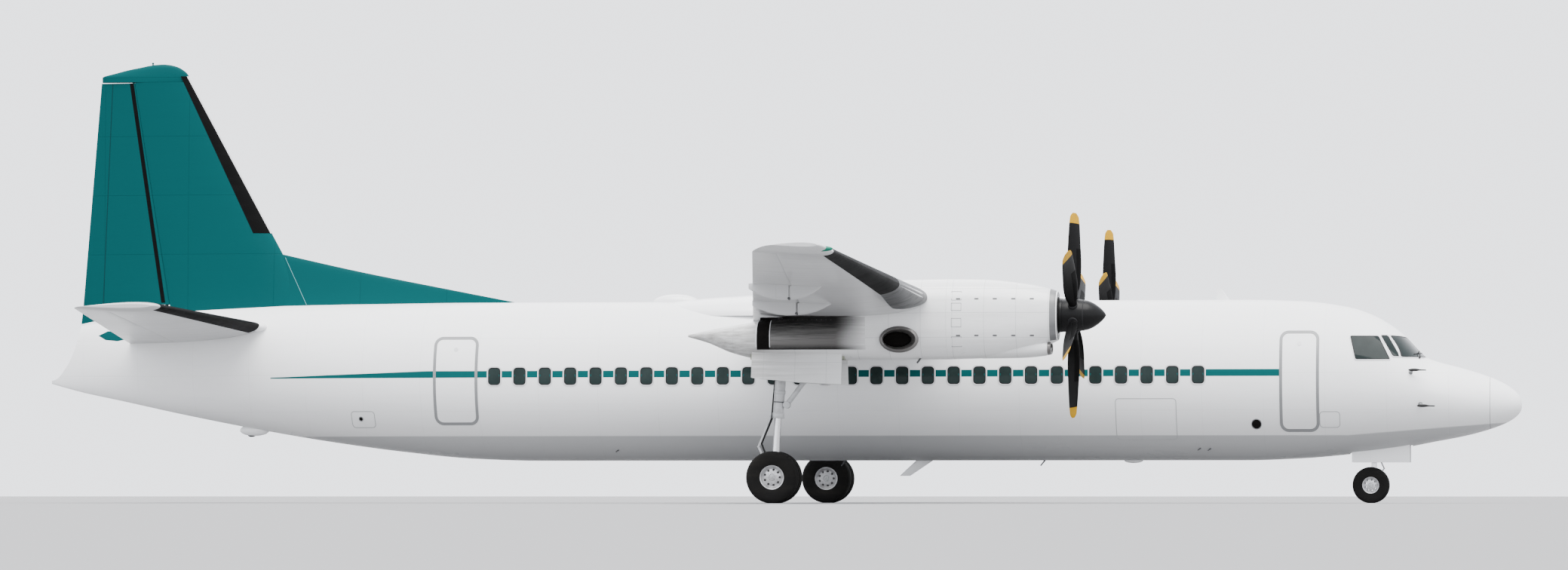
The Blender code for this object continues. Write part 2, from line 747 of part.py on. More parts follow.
def fin_share(height):
    """The rudder hinge as a share of the whole chord of fin and rudder."""
    nose = on_line(FIN_NOSE, height)
    return (nose - on_line(RUDDER_HINGE, height)) / (nose - on_line(RUDDER_TAIL, height))


def fin_skin(name, grow=0.0):
    heights = (FIN_FOOT_Z, 3.54, 5.00, FIN_TOP_Z + 0.03)
    rings = [fin_ring(h, FIN_NOSE, RUDDER_TAIL, end=fin_share(h), cove=SWING, grow=grow) for h in heights]
    return loft(name, rings)


def make_fin():
    fin = fin_skin("fin")
    rings = []
    for height, front, rear, half in FIN_CAP_RINGS:
        middle = (front + rear) / 2
        reach = (front - rear) / 2
        rings.append([(middle + reach * math.cos(t), half * math.sin(t), up(height))
                      for t in (2 * math.pi * i / 14 for i in range(14))])
    join(fin, loft("cap", rings))
    cut(fin, fuselage_skin("below", FIT))
    return keep(fin, "fin", "teal_paint")


def make_dorsal():
    """The thin fillet that leads up to the fin."""
    rings = []
    for x, top, half in ((-4.51, 2.72, 0.01), (-5.6, 2.93, 0.05), (-7.2, 3.25, 0.09), (-8.62, 3.56, 0.10)):
        rings.append([(x, half * 1.8, up(2.4)), (x, half, up((top + 2.7) / 2)), (x, half * 0.45, up(top - 0.02)),
                      (x, 0.0, up(top)), (x, -half * 0.45, up(top - 0.02)), (x, -half, up((top + 2.7) / 2)),
                      (x, -half * 1.8, up(2.4))])
    dorsal = loft("dorsal_fin", rings)
    cut(dorsal, fuselage_skin("below", FIT), fin_skin("behind", FIT))
    return keep(dorsal, "dorsal_fin", "teal_paint")


def rudder_hinge_at(height):
    return Vector((on_line(RUDDER_HINGE, height), 0, up(height)))


def make_rudder():
    top = FIN_TOP_Z - RIB_GAP
    heights = (RUDDER_FOOT_Z, 3.54, top)
    rudder = loft("rudder", [fin_ring(h, FIN_NOSE, RUDDER_TAIL, start=fin_share(h), round_nose=True)
                             for h in heights])
    foot = prism("foot", ((-10.95, 2.72), (-12.06, 2.72), (-12.10, 2.37), (-11.85, 2.42), (-11.0, 2.60)), -0.03, 0.03)
    cut(foot, fuselage_skin("below", 0.008))
    join(rudder, foot)
    above = rudder_hinge_at(RUDDER_FOOT_Z + 0.1)
    below = rudder_hinge_at(RUDDER_PIN_Z)
    head = rudder_hinge_at(top)
    axis = (head - above).normalized()
    pin_radius = 0.02
    pin_top = head + axis * ((RIB_GAP - SEAT - pin_radius * abs(axis.x)) / axis.z)
    join(rudder, rod("foot_pin", above, below, 0.03), rod("head_pin", head - axis * 0.1, pin_top, pin_radius))
    return keep(rudder, "rudder", "teal_paint", head)


def tail_chord(y):
    """The nose and tail of the tailplane's chord at a distance from the middle."""
    part = (y - 0.75) / (4.85 - 0.75)
    nose = Vector((-8.77 - 0.90 * part, y, up(2.30 + 0.24 * part)))
    tail = Vector((-11.16 + 0.08 * part, y, up(2.07 + 0.45 * part)))
    return nose, tail


def tail_hinge_share(y):
    nose, tail = tail_chord(y)
    hinge_x = -10.38 - 0.17 * (y - 0.75) / (4.85 - 0.75)
    return (nose.x - hinge_x) / (nose.x - tail.x)


def tail_hinge(y):
    nose, tail = tail_chord(y)
    return nose + (tail - nose) * tail_hinge_share(y)


def tail_ring(y, start=0.0, end=1.0, **form):
    nose, tail = tail_chord(y)
    return panel_ring(nose, tail, Vector((0, 0, 1)), TAIL_THICKNESS, 0.0, start, end, **form)


def tail_nose_radius(y):
    nose, tail = tail_chord(y)
    return section_at(tail_hinge_share(y), TAIL_THICKNESS) * (tail - nose).length


def make_tailplane(name, side):
    rings = [tail_ring(y) for y in (TAIL_ROOT_Y, 4.74, TAIL_TIP_Y)]
    middle = sum((Vector(p) for p in rings[2]), Vector()) / len(rings[2])
    rings[2] = [(middle.x + (p[0] - middle.x) * 0.86, p[1], middle.z + (p[2] - middle.z) * 0.5) for p in rings[2]]
    plane = loft(name, sided(rings, side))
    walls = (ELEVATOR_SPAN[0] - RIB_GAP, ELEVATOR_SPAN[1] + RIB_GAP)
    cut(plane, bay_cutter("bay", walls, side, tail_hinge, tail_nose_radius, lambda y: tail_chord(y)[1]),
        fuselage_skin("body", FIT))
    return keep(plane, name, "white_paint")


def make_elevator(name, side):
    rings = [tail_ring(y, start=tail_hinge_share(y), round_nose=True) for y in ELEVATOR_SPAN]
    elevator = loft(name, sided(rings, side))
    end_pins(elevator, tail_hinge, ELEVATOR_SPAN, side, RIB_GAP)
    origin = tail_hinge(ELEVATOR_SPAN[0])
    return keep(elevator, name, "white_paint", (origin.x, side * origin.y, origin.z))


def pod_ring(x, top, bottom, half, side, points=16, power=0.8, grow=0.0):
    """A rounded box section of a nacelle."""
    middle = (top + bottom) / 2
    high = (top - bottom) / 2 + grow
    ring = []
    for i in range(points):
        turn = 2 * math.pi * i / points
        c, s = math.cos(turn), math.sin(turn)
        ring.append((x, side * ENGINE_Y + (half + grow) * math.copysign(abs(c) ** power, c),
                     up(middle + high * math.copysign(abs(s) ** power, s))))
    return ring


def wing_skin_near(name, side):
    """The wing where it passes through a nacelle, a little thicker than it is."""
    return loft(name, sided([wing_ring(y, grow=WING_FIT) for y in (0.0, WING_BEND_Y, WING_TIP_START)], side))


def make_nacelle(name, side):
    body = loft(name, [pod_ring(*section, side) for section in NACELLE_SECTIONS])
    cut(body, wing_skin_near("wing_gap", side))
    rear, front, half, top = MAIN_BAY
    cut(body, block("wheel_bay", (rear, side * ENGINE_Y - half, 2.0), (front, side * ENGINE_Y + half, top)))
    cut(body, exhaust_oval("exhaust_hole", side, 0.40, 0.80, FIT))
    return body


def exhaust_oval(name, side, near, far, grow):
    """An oval bar through the outer side of a nacelle, between two distances from its middle plane."""
    x, height = EXHAUST_AT
    rings = []
    for reach in (near, far):
        rings.append([(x + (EXHAUST_RADII[0] + grow) * math.cos(t), side * (ENGINE_Y + reach),
                       up(height) + (EXHAUST_RADII[1] + grow) * math.sin(t))
                      for t in (2 * math.pi * i / 16 for i in range(16))])
    return loft(name, rings)


def make_exhaust(name, side):
    pipe = exhaust_oval(name, side, 0.40 + SEAT, 0.62, 0.0)
    cut(pipe, exhaust_oval("bore", side, 0.44, 0.9, -EXHAUST_WALL))
    return keep(pipe, name, "sooty_steel")


def make_cowling(name, side):
    cowl = loft(name, [pod_ring(*section, side) for section in COWL_SECTIONS])
    chin = loft("chin", [pod_ring(*section, side) for section in CHIN_SECTIONS])
    join(cowl, chin)
    inside = [(x, top - COWL_WALL, bottom + COWL_WALL, half - COWL_WALL)
              for x, top, bottom, half in COWL_SECTIONS[:-1]]
    inside[0] = (FIREWALL_X - 0.1, *inside[0][1:])
    cut(cowl, loft("inside", [pod_ring(*section, side) for section in inside]))
    hub = (0, side * ENGINE_Y, up(HUB_HEIGHT))
    cut(cowl, rod("shaft_hole", (4.8, *hub[1:]), (5.4, *hub[1:]), HUB_RADIUS + 0.03, facets=24))
    duct = [(5.2, 1.89, 1.76, 0.23), (4.4, 1.90, 1.78, 0.23)]
    cut(cowl, loft("duct", [pod_ring(*section, side, points=12) for section in duct]))
    return keep(cowl, name, "white_paint")


def make_engine(name, side):
    """The engine as one plain block on the firewall, with its gearbox and the propeller shaft."""
    y = side * ENGINE_Y
    z = up(HUB_HEIGHT)
    engine = block(name, (FIREWALL_X + SEAT, y - 0.33, z - 0.46), (4.45, y + 0.33, z + 0.30))
    join(engine, rod("gearbox", (4.40, y, z), (4.90, y, z), 0.30, 0.20, facets=16),
         rod("shaft", (4.80, y, z), (HUB_BACK_X - SEAT, y, z), 0.09))
    return keep(engine, name, "engine_cast")


def blade_ring(radius, chord, thickness, pitch):
    """One section of an upright blade, at a distance up from the hub's centre."""
    c, s = math.cos(math.radians(pitch)), math.sin(math.radians(pitch))
    ring = []
    for along, half in ((0.5, 0.0), (0.2, 0.45), (-0.25, 0.45), (-0.5, 0.0), (-0.25, -0.35), (0.2, -0.35)):
        a = along * chord
        b = half * thickness
        ring.append((PROP_X + a * s + b * c, a * c - b * s, radius))
    return ring


def make_propeller(name, side):
    hub = turned(name, ((0.0, SPINNER_BACK_X - SEAT), (0.252, SPINNER_BACK_X - SEAT), (HUB_RADIUS, 5.42),
                        (HUB_RADIUS, HUB_BACK_X), (0.0, HUB_BACK_X)), (0, 0, 0), "X", 20)
    blade = loft("blade", [blade_ring(*section) for section in BLADE_SECTIONS])
    for i in range(BLADES):
        copy = blade.copy()
        copy.data = blade.data.copy()
        PARTS.objects.link(copy)
        turn = math.radians(PROP_REST_TURN[side] + i * 360 / BLADES)
        copy.data.transform(Matrix.Rotation(turn, 4, "X"))
        join(hub, copy)
    bpy.data.objects.remove(blade, do_unlink=True)
    hub.data.transform(Matrix.Translation((0, side * ENGINE_Y, up(HUB_HEIGHT))))
    return keep(hub, name, "black_blade", (PROP_X, side * ENGINE_Y, up(HUB_HEIGHT)))


def make_spinner(name, side):
    profile = ((0.0, SPINNER_TIP_X), (0.07, SPINNER_TIP_X - 0.02), (0.14, SPINNER_TIP_X - 0.08),
               (0.20, SPINNER_TIP_X - 0.18), (0.25, SPINNER_BACK_X), (0.0, SPINNER_BACK_X))
    spinner = turned(name, profile, (0, side * ENGINE_Y, up(HUB_HEIGHT)), "X", 20)
    return keep(spinner, name, "black_blade", (PROP_X, side * ENGINE_Y, up(HUB_HEIGHT)))


def axle_height(tyre):
    """The wheel stands on a flat facet, so its axle is a little under the tyre's radius."""
    return tyre[0] * math.cos(math.pi / WHEEL_FACETS)


def make_tyre(name, x, y, tyre):
    radius, bead, width = tyre
    half = width / 2
    profile = ((radius, half * 0.62), (radius * 0.93, half), (bead * 1.15, half * 0.85), (bead, half * 0.7),
               (bead, -half * 0.7), (bead * 1.15, -half * 0.85), (radius * 0.93, -half), (radius, -half * 0.62))
    obj = turned(name, profile, (x, y, axle_height(tyre)), "Y", WHEEL_FACETS)
    return keep(obj, name, "tyre_rubber", (x, y, axle_height(tyre)))


def make_rims(name, x, y, tyre, wheel_y, axle_radius):
    """Both wheels of a pair on the axle that turns with them in the leg's boss."""
    bead = tyre[1] - FIT
    half = tyre[2] * 0.36
    wheel = ((bead * 0.55, wheel_y + half * 0.5), (bead * 0.86, wheel_y + half * 0.4), (bead, wheel_y + half),
             (bead, wheel_y - half), (bead * 0.84, wheel_y - half * 0.5), (axle_radius * 1.5, wheel_y - half * 0.5),
             (axle_radius * 1.5, BOSS_HALF + SEAT), (axle_radius, BOSS_HALF + SEAT))
    profile = ((0.0, wheel[0][1]), *wheel, *((r, -along) for r, along in reversed(wheel)), (0.0, -wheel[0][1]))
    rims = turned(name, profile, (x, y, axle_height(tyre)), "Y", WHEEL_FACETS)
    return keep(rims, name, "wheel_alloy", (x, y, axle_height(tyre)))


def make_main_leg(name, side):
    y = side * ENGINE_Y
    z = axle_height(MAIN_TYRE)
    rear, front, half, top = MAIN_BAY
    head = (MAIN_X + 0.15, y, top - 0.12)
    foot = (MAIN_X, y, z)
    knee = tuple(a + (b - a) * 0.42 for a, b in zip(foot, head))
    leg = rod(name, knee, head, 0.085, 0.095)
    join(leg, rod("piston", foot, knee, 0.058),
         rod("collar", knee, tuple(a + (b - a) * 0.07 for a, b in zip(knee, head)), 0.105),
         rod("trunnion", (head[0], y - half + SEAT, head[2]), (head[0], y + half - SEAT, head[2]), 0.06),
         rod("boss", (MAIN_X, y - BOSS_HALF, z), (MAIN_X, y + BOSS_HALF, z), 0.10, facets=20))
    link_top = Vector(knee) + Vector((-0.10, 0, 0.02))
    link_mid = Vector((MAIN_X - 0.26, y, (z + knee[2]) / 2 + 0.02))
    link_low = Vector((MAIN_X - 0.06, y, z + 0.10))
    join(leg, rod("upper_link", link_top + Vector((0.08, 0, 0)), link_mid, 0.035, 0.028, facets=8),
         rod("lower_link", link_low, link_mid, 0.035, 0.028, facets=8))
    cut(leg, rod("axle_bore", (MAIN_X, y - 0.2, z), (MAIN_X, y + 0.2, z), 0.0475, facets=20))
    return keep(leg, name, "gear_steel", head)


def make_main_brace(name, side):
    """The drag brace from the roof of the wheel bay down to the front of the leg."""
    y = side * ENGINE_Y
    top = MAIN_BAY[3]
    low = Vector((MAIN_X + 0.21, y, 1.62))
    high = Vector((MAIN_BAY[1] - 0.14, y, top - 0.10))
    brace = rod(name, low, high, 0.042)
    join(brace, rod("roof_pad", (high.x, y, high.z - 0.03), (high.x, y, top - SEAT), 0.07),
         rod("eye", (low.x, y - 0.07, low.z), (low.x, y + 0.07, low.z), 0.065, facets=16))
    head = Vector((MAIN_X + 0.15, y, top - 0.12))
    foot = Vector((MAIN_X, y, axle_height(MAIN_TYRE)))
    knee = foot + (head - foot) * 0.42
    cut(brace, rod("leg_gap", knee, head, 0.085 + FIT, 0.095 + FIT))
    return keep(brace, name, "gear_steel", high)


def make_main_door(name, side, edge):
    """One of the two long doors that hang open beside the leg, under the edge of the wheel bay."""
    rear, front, half, _ = MAIN_BAY
    y = side * ENGINE_Y + edge * (half + 0.035)
    rings = []
    for x, hang, spread in ((rear + 0.03, 0.42, 0.10), (front - 0.03, 0.50, 0.13)):
        roof = up(pod_bottom_near(x, half + 0.035)) - SEAT
        outline = ((0.0, 0.0), (spread * 0.6, -hang * 0.5), (spread, -hang))
        outer = [(x, y + edge * (dy + DOOR_PLATE), roof - 0.004 + dz) for dy, dz in outline]
        inner = [(x, y + edge * dy, roof - 0.004 + dz) for dy, dz in reversed(outline)]
        rings.append(outer + inner)
    door = loft(name, rings)
    cut(door, nacelle_skin_near(side))
    return keep(door, name, "white_paint", (MAIN_X, y, up(1.66)))


def pod_bottom_near(x, reach):
    """The height of a nacelle's underside at a distance out from its middle plane."""
    for low, high in zip(NACELLE_SECTIONS, NACELLE_SECTIONS[1:]):
        if low[0] <= x <= high[0]:
            part = (x - low[0]) / (high[0] - low[0])
            top, bottom, half = (a + (b - a) * part for a, b in zip(low[1:], high[1:]))
            c = min(1.0, reach / half) ** (1 / 0.8)
            s = math.sqrt(1 - c * c) ** 0.8
            return (top + bottom) / 2 - (top - bottom) / 2 * s
    return NACELLE_SECTIONS[0][2]


def nacelle_skin_near(side):
    return loft("nacelle_gap", [pod_ring(*section, side, grow=SEAT) for section in NACELLE_SECTIONS])


def make_nose_leg():
    leg = rod("nose_leg", (NOSE_X, 0, NOSE_LEG_FOOT), (NOSE_X, 0, NOSE_BAY[3] - SEAT), 0.07)
    half = NOSE_BAY[2]
    join(leg, rod("trunnion", (NOSE_X, -half + SEAT, 1.34), (NOSE_X, half - SEAT, 1.34), 0.045),
         rod("brace", (NOSE_X + 0.03, 0, 1.0), (NOSE_BAY[1] - 0.02, 0, 1.36), 0.03),
         block("brace_pad", (NOSE_BAY[1] - 0.06, -0.06, 1.30), (NOSE_BAY[1] - SEAT, 0.06, 1.42)),
         rod("collar", (NOSE_X, 0, NOSE_LEG_FOOT), (NOSE_X, 0, NOSE_LEG_FOOT + 0.09), 0.085))
    return keep(leg, "nose_leg", "gear_steel", (NOSE_X, 0, 1.34))


def make_nose_fork():
    z = axle_height(NOSE_TYRE)
    axle_x = NOSE_X - NOSE_TRAIL
    fork = rod("nose_fork", (NOSE_X, 0, z + 0.10), (NOSE_X, 0, NOSE_LEG_FOOT - SEAT), 0.05)
    join(fork, rod("head", (NOSE_X, 0, NOSE_LEG_FOOT - 0.06), (NOSE_X, 0, NOSE_LEG_FOOT - SEAT), 0.08),
         rod("neck", (axle_x, 0, z), (NOSE_X, 0, z + 0.14), 0.055),
         rod("boss", (axle_x, -BOSS_HALF, z), (axle_x, BOSS_HALF, z), 0.075, facets=20),
         rod("upper_link", (NOSE_X + 0.05, 0, NOSE_LEG_FOOT - 0.05), (NOSE_X + 0.17, 0, z + 0.28), 0.028, facets=8),
         rod("lower_link", (NOSE_X - 0.01, 0, z + 0.10), (NOSE_X + 0.17, 0, z + 0.28), 0.028, facets=8))
    tow_x = axle_x + 0.12
    join(fork, block("tow_lug", (axle_x + 0.04, -0.04, z - 0.03), (tow_x, 0.04, z + 0.03)))
    cut(fork, rod("axle_bore", (axle_x, -0.2, z), (axle_x, 0.2, z), 0.0375, facets=20))
    return keep(fork, "nose_fork", "gear_steel", (NOSE_X, 0, z))


def make_nose_door(name, side):
    rear, front, half, _ = NOSE_BAY
    y = half + 0.02
    rings = []
    for x, skin in ((rear + 0.04, 0.105), (front - 0.04, 0.23)):
        middle = 1.25
        reach = middle - skin
        edge_z = up(middle - reach * math.sqrt(1 - (y / 1.2) ** 2))
        hang = edge_z - 0.665
        outline = ((0.0, 0.0), (0.02, -hang))
        rings.append([(x, side * (y + dy + DOOR_PLATE), edge_z + dz + 0.02) for dy, dz in outline]
                     + [(x, side * (y + dy), edge_z + dz + 0.02) for dy, dz in reversed(outline)])
    door = loft(name, rings)
    cut(door, fuselage_skin("above", SEAT))
    return keep(door, name, "white_paint", (NOSE_X, side * y, up(0.2)))


def build_airliner():
    clear_scene()
    make_materials()
    body = make_fuselage()
    centre = make_wing()
    add_inner_brackets(centre)
    lid = block("above_wing", (WING_ROOT_TAIL[0] - 0.0, -1.4, up(2.44)), (2.9, 1.4, up(3.2)))
    cut(body, wing_skin_near("port_notch", PORT), wing_skin_near("starboard_notch", STARBOARD), lid)
    keep(body, "fuselage", "white_paint")
    keep(centre, "wing_center", "wing_paint")
    make_stair_door()
    make_fin()
    make_dorsal()
    make_rudder()
    for word, side in SIDES:
        keep(make_outer_wing(f"wing_outer_{word}", side), f"wing_outer_{word}", "wing_paint")
        make_aileron(f"aileron_{word}", side)
        make_outer_flap(f"flap_outboard_{word}", side)
        make_inner_flap(f"flap_inboard_{word}", side)
        make_tailplane(f"tailplane_{word}", side)
        make_elevator(f"elevator_{word}", side)
        keep(make_nacelle(f"nacelle_{word}", side), f"nacelle_{word}", "white_paint")
        make_cowling(f"cowling_{word}", side)
        make_engine(f"engine_{word}", side)
        make_exhaust(f"exhaust_{word}", side)
        make_propeller(f"propeller_{word}", side)
        make_spinner(f"spinner_{word}", side)
        make_main_leg(f"main_leg_{word}", side)
        make_main_brace(f"main_brace_{word}", side)
        make_rims(f"main_rims_{word}", MAIN_X, side * ENGINE_Y, MAIN_TYRE, MAIN_WHEEL_Y, 0.045)
        for place, edge in (("inner", -side), ("outer", side)):
            make_tyre(f"main_tyre_{place}_{word}", MAIN_X, side * ENGINE_Y + edge * MAIN_WHEEL_Y, MAIN_TYRE)
            make_main_door(f"main_door_{place}_{word}", side, edge)
        make_nose_door(f"nose_door_{word}", side)
        make_tyre(f"nose_tyre_{word}", NOSE_X - NOSE_TRAIL, side * NOSE_WHEEL_Y, NOSE_TYRE)
    make_nose_leg()
    make_nose_fork()
    make_rims("nose_rims", NOSE_X - NOSE_TRAIL, 0.0, NOSE_TYRE, NOSE_WHEEL_Y, 0.035)


build_airliner()
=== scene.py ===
"""The looks of a twin turboprop airliner, parked on a plain pale floor.

Metres: +X towards the nose, +Y to port, +Z up. The tables give heights above the belly, and up() lifts
them to the ground frame.
"""

import math

import bmesh
import bpy
from mathutils import Matrix, Vector


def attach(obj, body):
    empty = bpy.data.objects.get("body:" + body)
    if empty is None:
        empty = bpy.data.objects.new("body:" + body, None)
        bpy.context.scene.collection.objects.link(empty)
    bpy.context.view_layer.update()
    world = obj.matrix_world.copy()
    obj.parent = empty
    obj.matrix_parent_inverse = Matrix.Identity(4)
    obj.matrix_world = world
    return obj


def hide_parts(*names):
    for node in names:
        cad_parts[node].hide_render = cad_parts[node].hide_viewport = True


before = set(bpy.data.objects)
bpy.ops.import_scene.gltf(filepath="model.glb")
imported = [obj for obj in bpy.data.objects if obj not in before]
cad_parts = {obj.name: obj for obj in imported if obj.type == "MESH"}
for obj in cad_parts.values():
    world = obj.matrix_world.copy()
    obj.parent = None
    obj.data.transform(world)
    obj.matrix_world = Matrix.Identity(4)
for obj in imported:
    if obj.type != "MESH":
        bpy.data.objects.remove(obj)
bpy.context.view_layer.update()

BELLY_HEIGHT = 0.72
HALF_SPAN = 14.5
PORT = 1
STARBOARD = -1
SIDES = (("left", PORT), ("right", STARBOARD))

# columns: x, top, bottom, half width, height of the widest line
FUSELAGE_SECTIONS = (
    (-12.625, 2.24, 1.335, 0.03, 1.75),
    (-12.10, 2.34, 1.19, 0.16, 1.75),
    (-11.40, 2.46, 1.04, 0.32, 1.72),
    (-10.30, 2.62, 0.80, 0.58, 1.66),
    (-9.00, 2.67, 0.545, 0.86, 1.58),
    (-7.70, 2.69, 0.325, 1.09, 1.50),
    (-6.40, 2.70, 0.15, 1.25, 1.42),
    (-5.20, 2.71, 0.035, 1.335, 1.37),
    (-4.10, 2.71, 0.0, 1.355, 1.355),
    (8.00, 2.71, 0.0, 1.355, 1.355),
    (9.00, 2.68, 0.035, 1.33, 1.34),
    (9.75, 2.575, 0.10, 1.27, 1.30),
    (10.15, 2.44, 0.14, 1.225, 1.27),
    (10.60, 2.16, 0.20, 1.155, 1.22),
    (10.75, 2.012, 0.227, 1.12, 1.19),
    (10.90, 1.85, 0.255, 1.08, 1.16),
    (11.04, 1.722, 0.284, 1.035, 1.12),
    (11.20, 1.66, 0.315, 0.98, 1.08),
    (11.65, 1.54, 0.40, 0.80, 1.00),
    (12.00, 1.43, 0.49, 0.63, 0.96),
    (12.30, 1.305, 0.595, 0.45, 0.94),
    (12.48, 1.19, 0.69, 0.31, 0.935),
    (12.57, 1.10, 0.77, 0.21, 0.935),
    (12.608, 1.03, 0.83, 0.125, 0.93),
    (12.624, 0.975, 0.885, 0.05, 0.93),
)
TAIL_EDGE = ((-12.095, 2.60), (-12.095, 2.34), (-12.15, 2.07), (-12.26, 1.77), (-12.41, 1.54), (-12.53, 1.42),
             (-12.70, 1.37))
RADOME_SEAM_X = 12.10
STRIPE = (-8.58, -5.8, 8.64, 1.400, 1.514)
# height of the belly paint's edge, where its nose part starts to rise, and the rise per metre
BELLY_SHADE = (0.415, 9.75, 0.082)
# top of the painted shade, with soil, that darkens the fuselage's low side
SHADE_AND_SOIL_TOP = 1.15

# Wing
WING_ROOT_NOSE = (3.19, 2.62)
WING_ROOT_TAIL = (-0.39, 2.375)
WING_SWEEP = (-0.0338, 0.1352)
WING_RISE = (0.0400, 0.0635)
WING_BEND_Y = 3.6
WING_TIP_START = 13.98
WING_THICKNESS = (0.195, 0.145)
WING_CAMBER = 0.018
WING_HINGE = 0.72
AILERON_SPAN = (9.30, 13.95)
OUTER_FLAP_SPAN = (4.29, 9.20)
INNER_FLAP_SPAN = (1.46, 2.93)
RIB_GAP = 0.014
FLAP_GAP = 0.028
SWING = 0.012

# Fin and tailplane
FIN_TOP_Z = 6.54
FIN_NOSE = ((2.66, -8.12), (3.54, -8.55), (6.61, -10.22))
RUDDER_HINGE = ((2.69, -10.60), (6.54, -11.20))
RUDDER_TAIL = ((2.34, -12.11), (2.69, -12.07), (6.54, -11.76))
TAB_LINE = ((2.764, -11.703), (6.520, -11.554))
RUDDER_FOOT_Z = 2.70
RUDDER_PIN_Z = 2.5795
RUDDER_TOP_Z = FIN_TOP_Z - RIB_GAP
TAIL_THICKNESS = 0.11
BOOT_HEIGHTS = (3.92, 6.64)
DORSAL_FOOT = 2.55
DORSAL_POWER = 2.4
# columns: x, height of the crest, half width
DORSAL_RINGS = ((-8.75, 3.60, 0.10), (-7.2, 3.25, 0.09), (-5.6, 2.93, 0.05), (-4.51, 2.715, 0.01))
ELEVATOR_SPAN = (0.62, 4.62)
# columns: height, front x, rear x, half width
FIN_CAP_RINGS = (
    (FIN_TOP_Z, -10.22, -11.75, 0.078),
    (6.633, -10.222, -11.75, 0.072),
    (6.70, -10.262, -11.52, 0.062),
    (6.754, -10.33, -11.31, 0.052),
    (6.80, -10.41, -11.07, 0.040),
    (6.842, -10.56, -10.844, 0.018),
    (6.85, -10.64, -10.72, 0.008),
)

# Power plants
ENGINE_Y = 3.60
HUB_HEIGHT = 2.36
HUB_Z = HUB_HEIGHT + BELLY_HEIGHT
FIREWALL_X = 3.35
COWL_LIP_X = 5.15
PROP_X = 5.40
PROP_RADIUS = 1.69
HUB_RADIUS = 0.275
BLADES = 6
PROP_REST_TURN = {PORT: 0.0, STARBOARD: -5.0}
NACELLE_SECTIONS = (
    (-0.98, 2.06, 2.02, 0.03),
    (-0.64, 2.13, 1.92, 0.20),
    (-0.26, 2.20, 1.76, 0.35),
    (0.12, 2.26, 1.67, 0.46),
    (0.70, 2.36, 1.65, 0.53),
    (1.50, 2.62, 1.64, 0.57),
    (2.35, 2.94, 1.63, 0.58),
    (FIREWALL_X, 2.96, 1.64, 0.58),
)
COWL_SECTIONS = (
    (FIREWALL_X, 2.96, 1.64, 0.58),
    (3.95, 2.95, 1.66, 0.57),
    (4.61, 2.88, 1.76, 0.51),
    (5.00, 2.80, 1.88, 0.44),
    (COWL_LIP_X, 2.75, 1.95, 0.39),
)
CHIN_SECTIONS = (
    (3.90, 2.10, 1.652, 0.30),
    (4.50, 2.00, 1.66, 0.32),
    (4.90, 1.96, 1.69, 0.31),
    (5.02, 1.93, 1.72, 0.29),
)
EXHAUST_AT = (2.58, 1.96)
EXHAUST_RADII = (0.29, 0.185)
# columns: distance from the nacelle's middle plane, growth of the oval, shift forwards
EXHAUST_RING = ((0.4003, -0.03, 0.0), (0.4003, 0.0, 0.0), (0.55, 0.0, 0.0), (0.566, 0.034, 0.0),
                (0.583, 0.032, 0.0), (0.604, 0.014, 0.0), (0.616, -0.001, 0.0), (0.6195, -0.011, 0.0),
                (0.612, -0.020, 0.0), (0.56, -0.036, -0.012), (0.50, -0.058, -0.034), (0.45, -0.074, -0.05))
EXHAUST_THROAT = ((0.452, -0.078, -0.052), (0.508, -0.064, -0.036), (0.509, -0.068, -0.036),
                  (0.456, -0.082, -0.052))

# Landing gear
MAIN_X = 0.45
MAIN_TYRE = (0.43, 0.20, 0.25)
MAIN_WHEEL_Y = 0.225
MAIN_AXLE_Z = 0.42562
MAIN_BAY = (0.10, 1.65, 0.33, 2.86)
NOSE_X = 10.15
NOSE_TYRE = (0.305, 0.14, 0.17)
NOSE_WHEEL_Y = 0.16
NOSE_AXLE_X = NOSE_X - 0.05
NOSE_AXLE_Z = 0.30190
NOSE_BAY = (9.75, 10.80, 0.24, 1.50)


def up(height):
    """The height above the ground of a height above the belly."""
    return height + BELLY_HEIGHT


# Shader helpers

# a mix node's two colour inputs and its colour output, among those for its other kinds of data
COLOUR_SOCKETS = slice(6, 8)
COLOUR_RESULT = 2
FLOAT = "NodeSocketFloat"
COLOUR = "NodeSocketColor"
VECTOR = "NodeSocketVector"


def grey(tone):
    return (tone, tone, tone)


def wire(tree, source, target):
    """Puts a value or a link into a socket."""
    if isinstance(source, bpy.types.NodeSocket):
        tree.links.new(source, target)
    elif isinstance(source, (tuple, list)) and len(source) == 3 and target.type == "RGBA":
        target.default_value = (*source, 1.0)
    else:
        target.default_value = source


def calc(tree, operation, *values, clamp=False):
    node = tree.nodes.new("ShaderNodeMath")
    node.operation = operation
    node.use_clamp = clamp
    for socket, value in zip(node.inputs, values):
        wire(tree, value, socket)
    return node.outputs[0]


def times(tree, *values, **more):
    return calc(tree, "MULTIPLY", *values, **more)


def plus(tree, *values, **more):
    return calc(tree, "ADD", *values, **more)


def minus(tree, *values, **more):
    return calc(tree, "SUBTRACT", *values, **more)


def rest_of(tree, share):
    """What a share leaves of the whole."""
    return minus(tree, 1.0, share)


def blend_colour(tree, share, first, second):
    node = tree.nodes.new("ShaderNodeMix")
    node.data_type = "RGBA"
    wire(tree, share, node.inputs["Factor"])
    for socket, colour in zip(node.inputs[COLOUR_SOCKETS], (first, second)):
        wire(tree, colour, socket)
    return node.outputs[COLOUR_RESULT]


def step_up(tree, value, edge, soft):
    """0 below the edge and 1 above it, over a soft width."""
    node = tree.nodes.new("ShaderNodeMapRange")
    wire(tree, value, node.inputs["Value"])
    half = soft / 2
    if isinstance(edge, bpy.types.NodeSocket):
        wire(tree, minus(tree, edge, half), node.inputs["From Min"])
        wire(tree, plus(tree, edge, half), node.inputs["From Max"])
    else:
        node.inputs["From Min"].default_value = edge - half
        node.inputs["From Max"].default_value = edge + half
    return node.outputs["Result"]


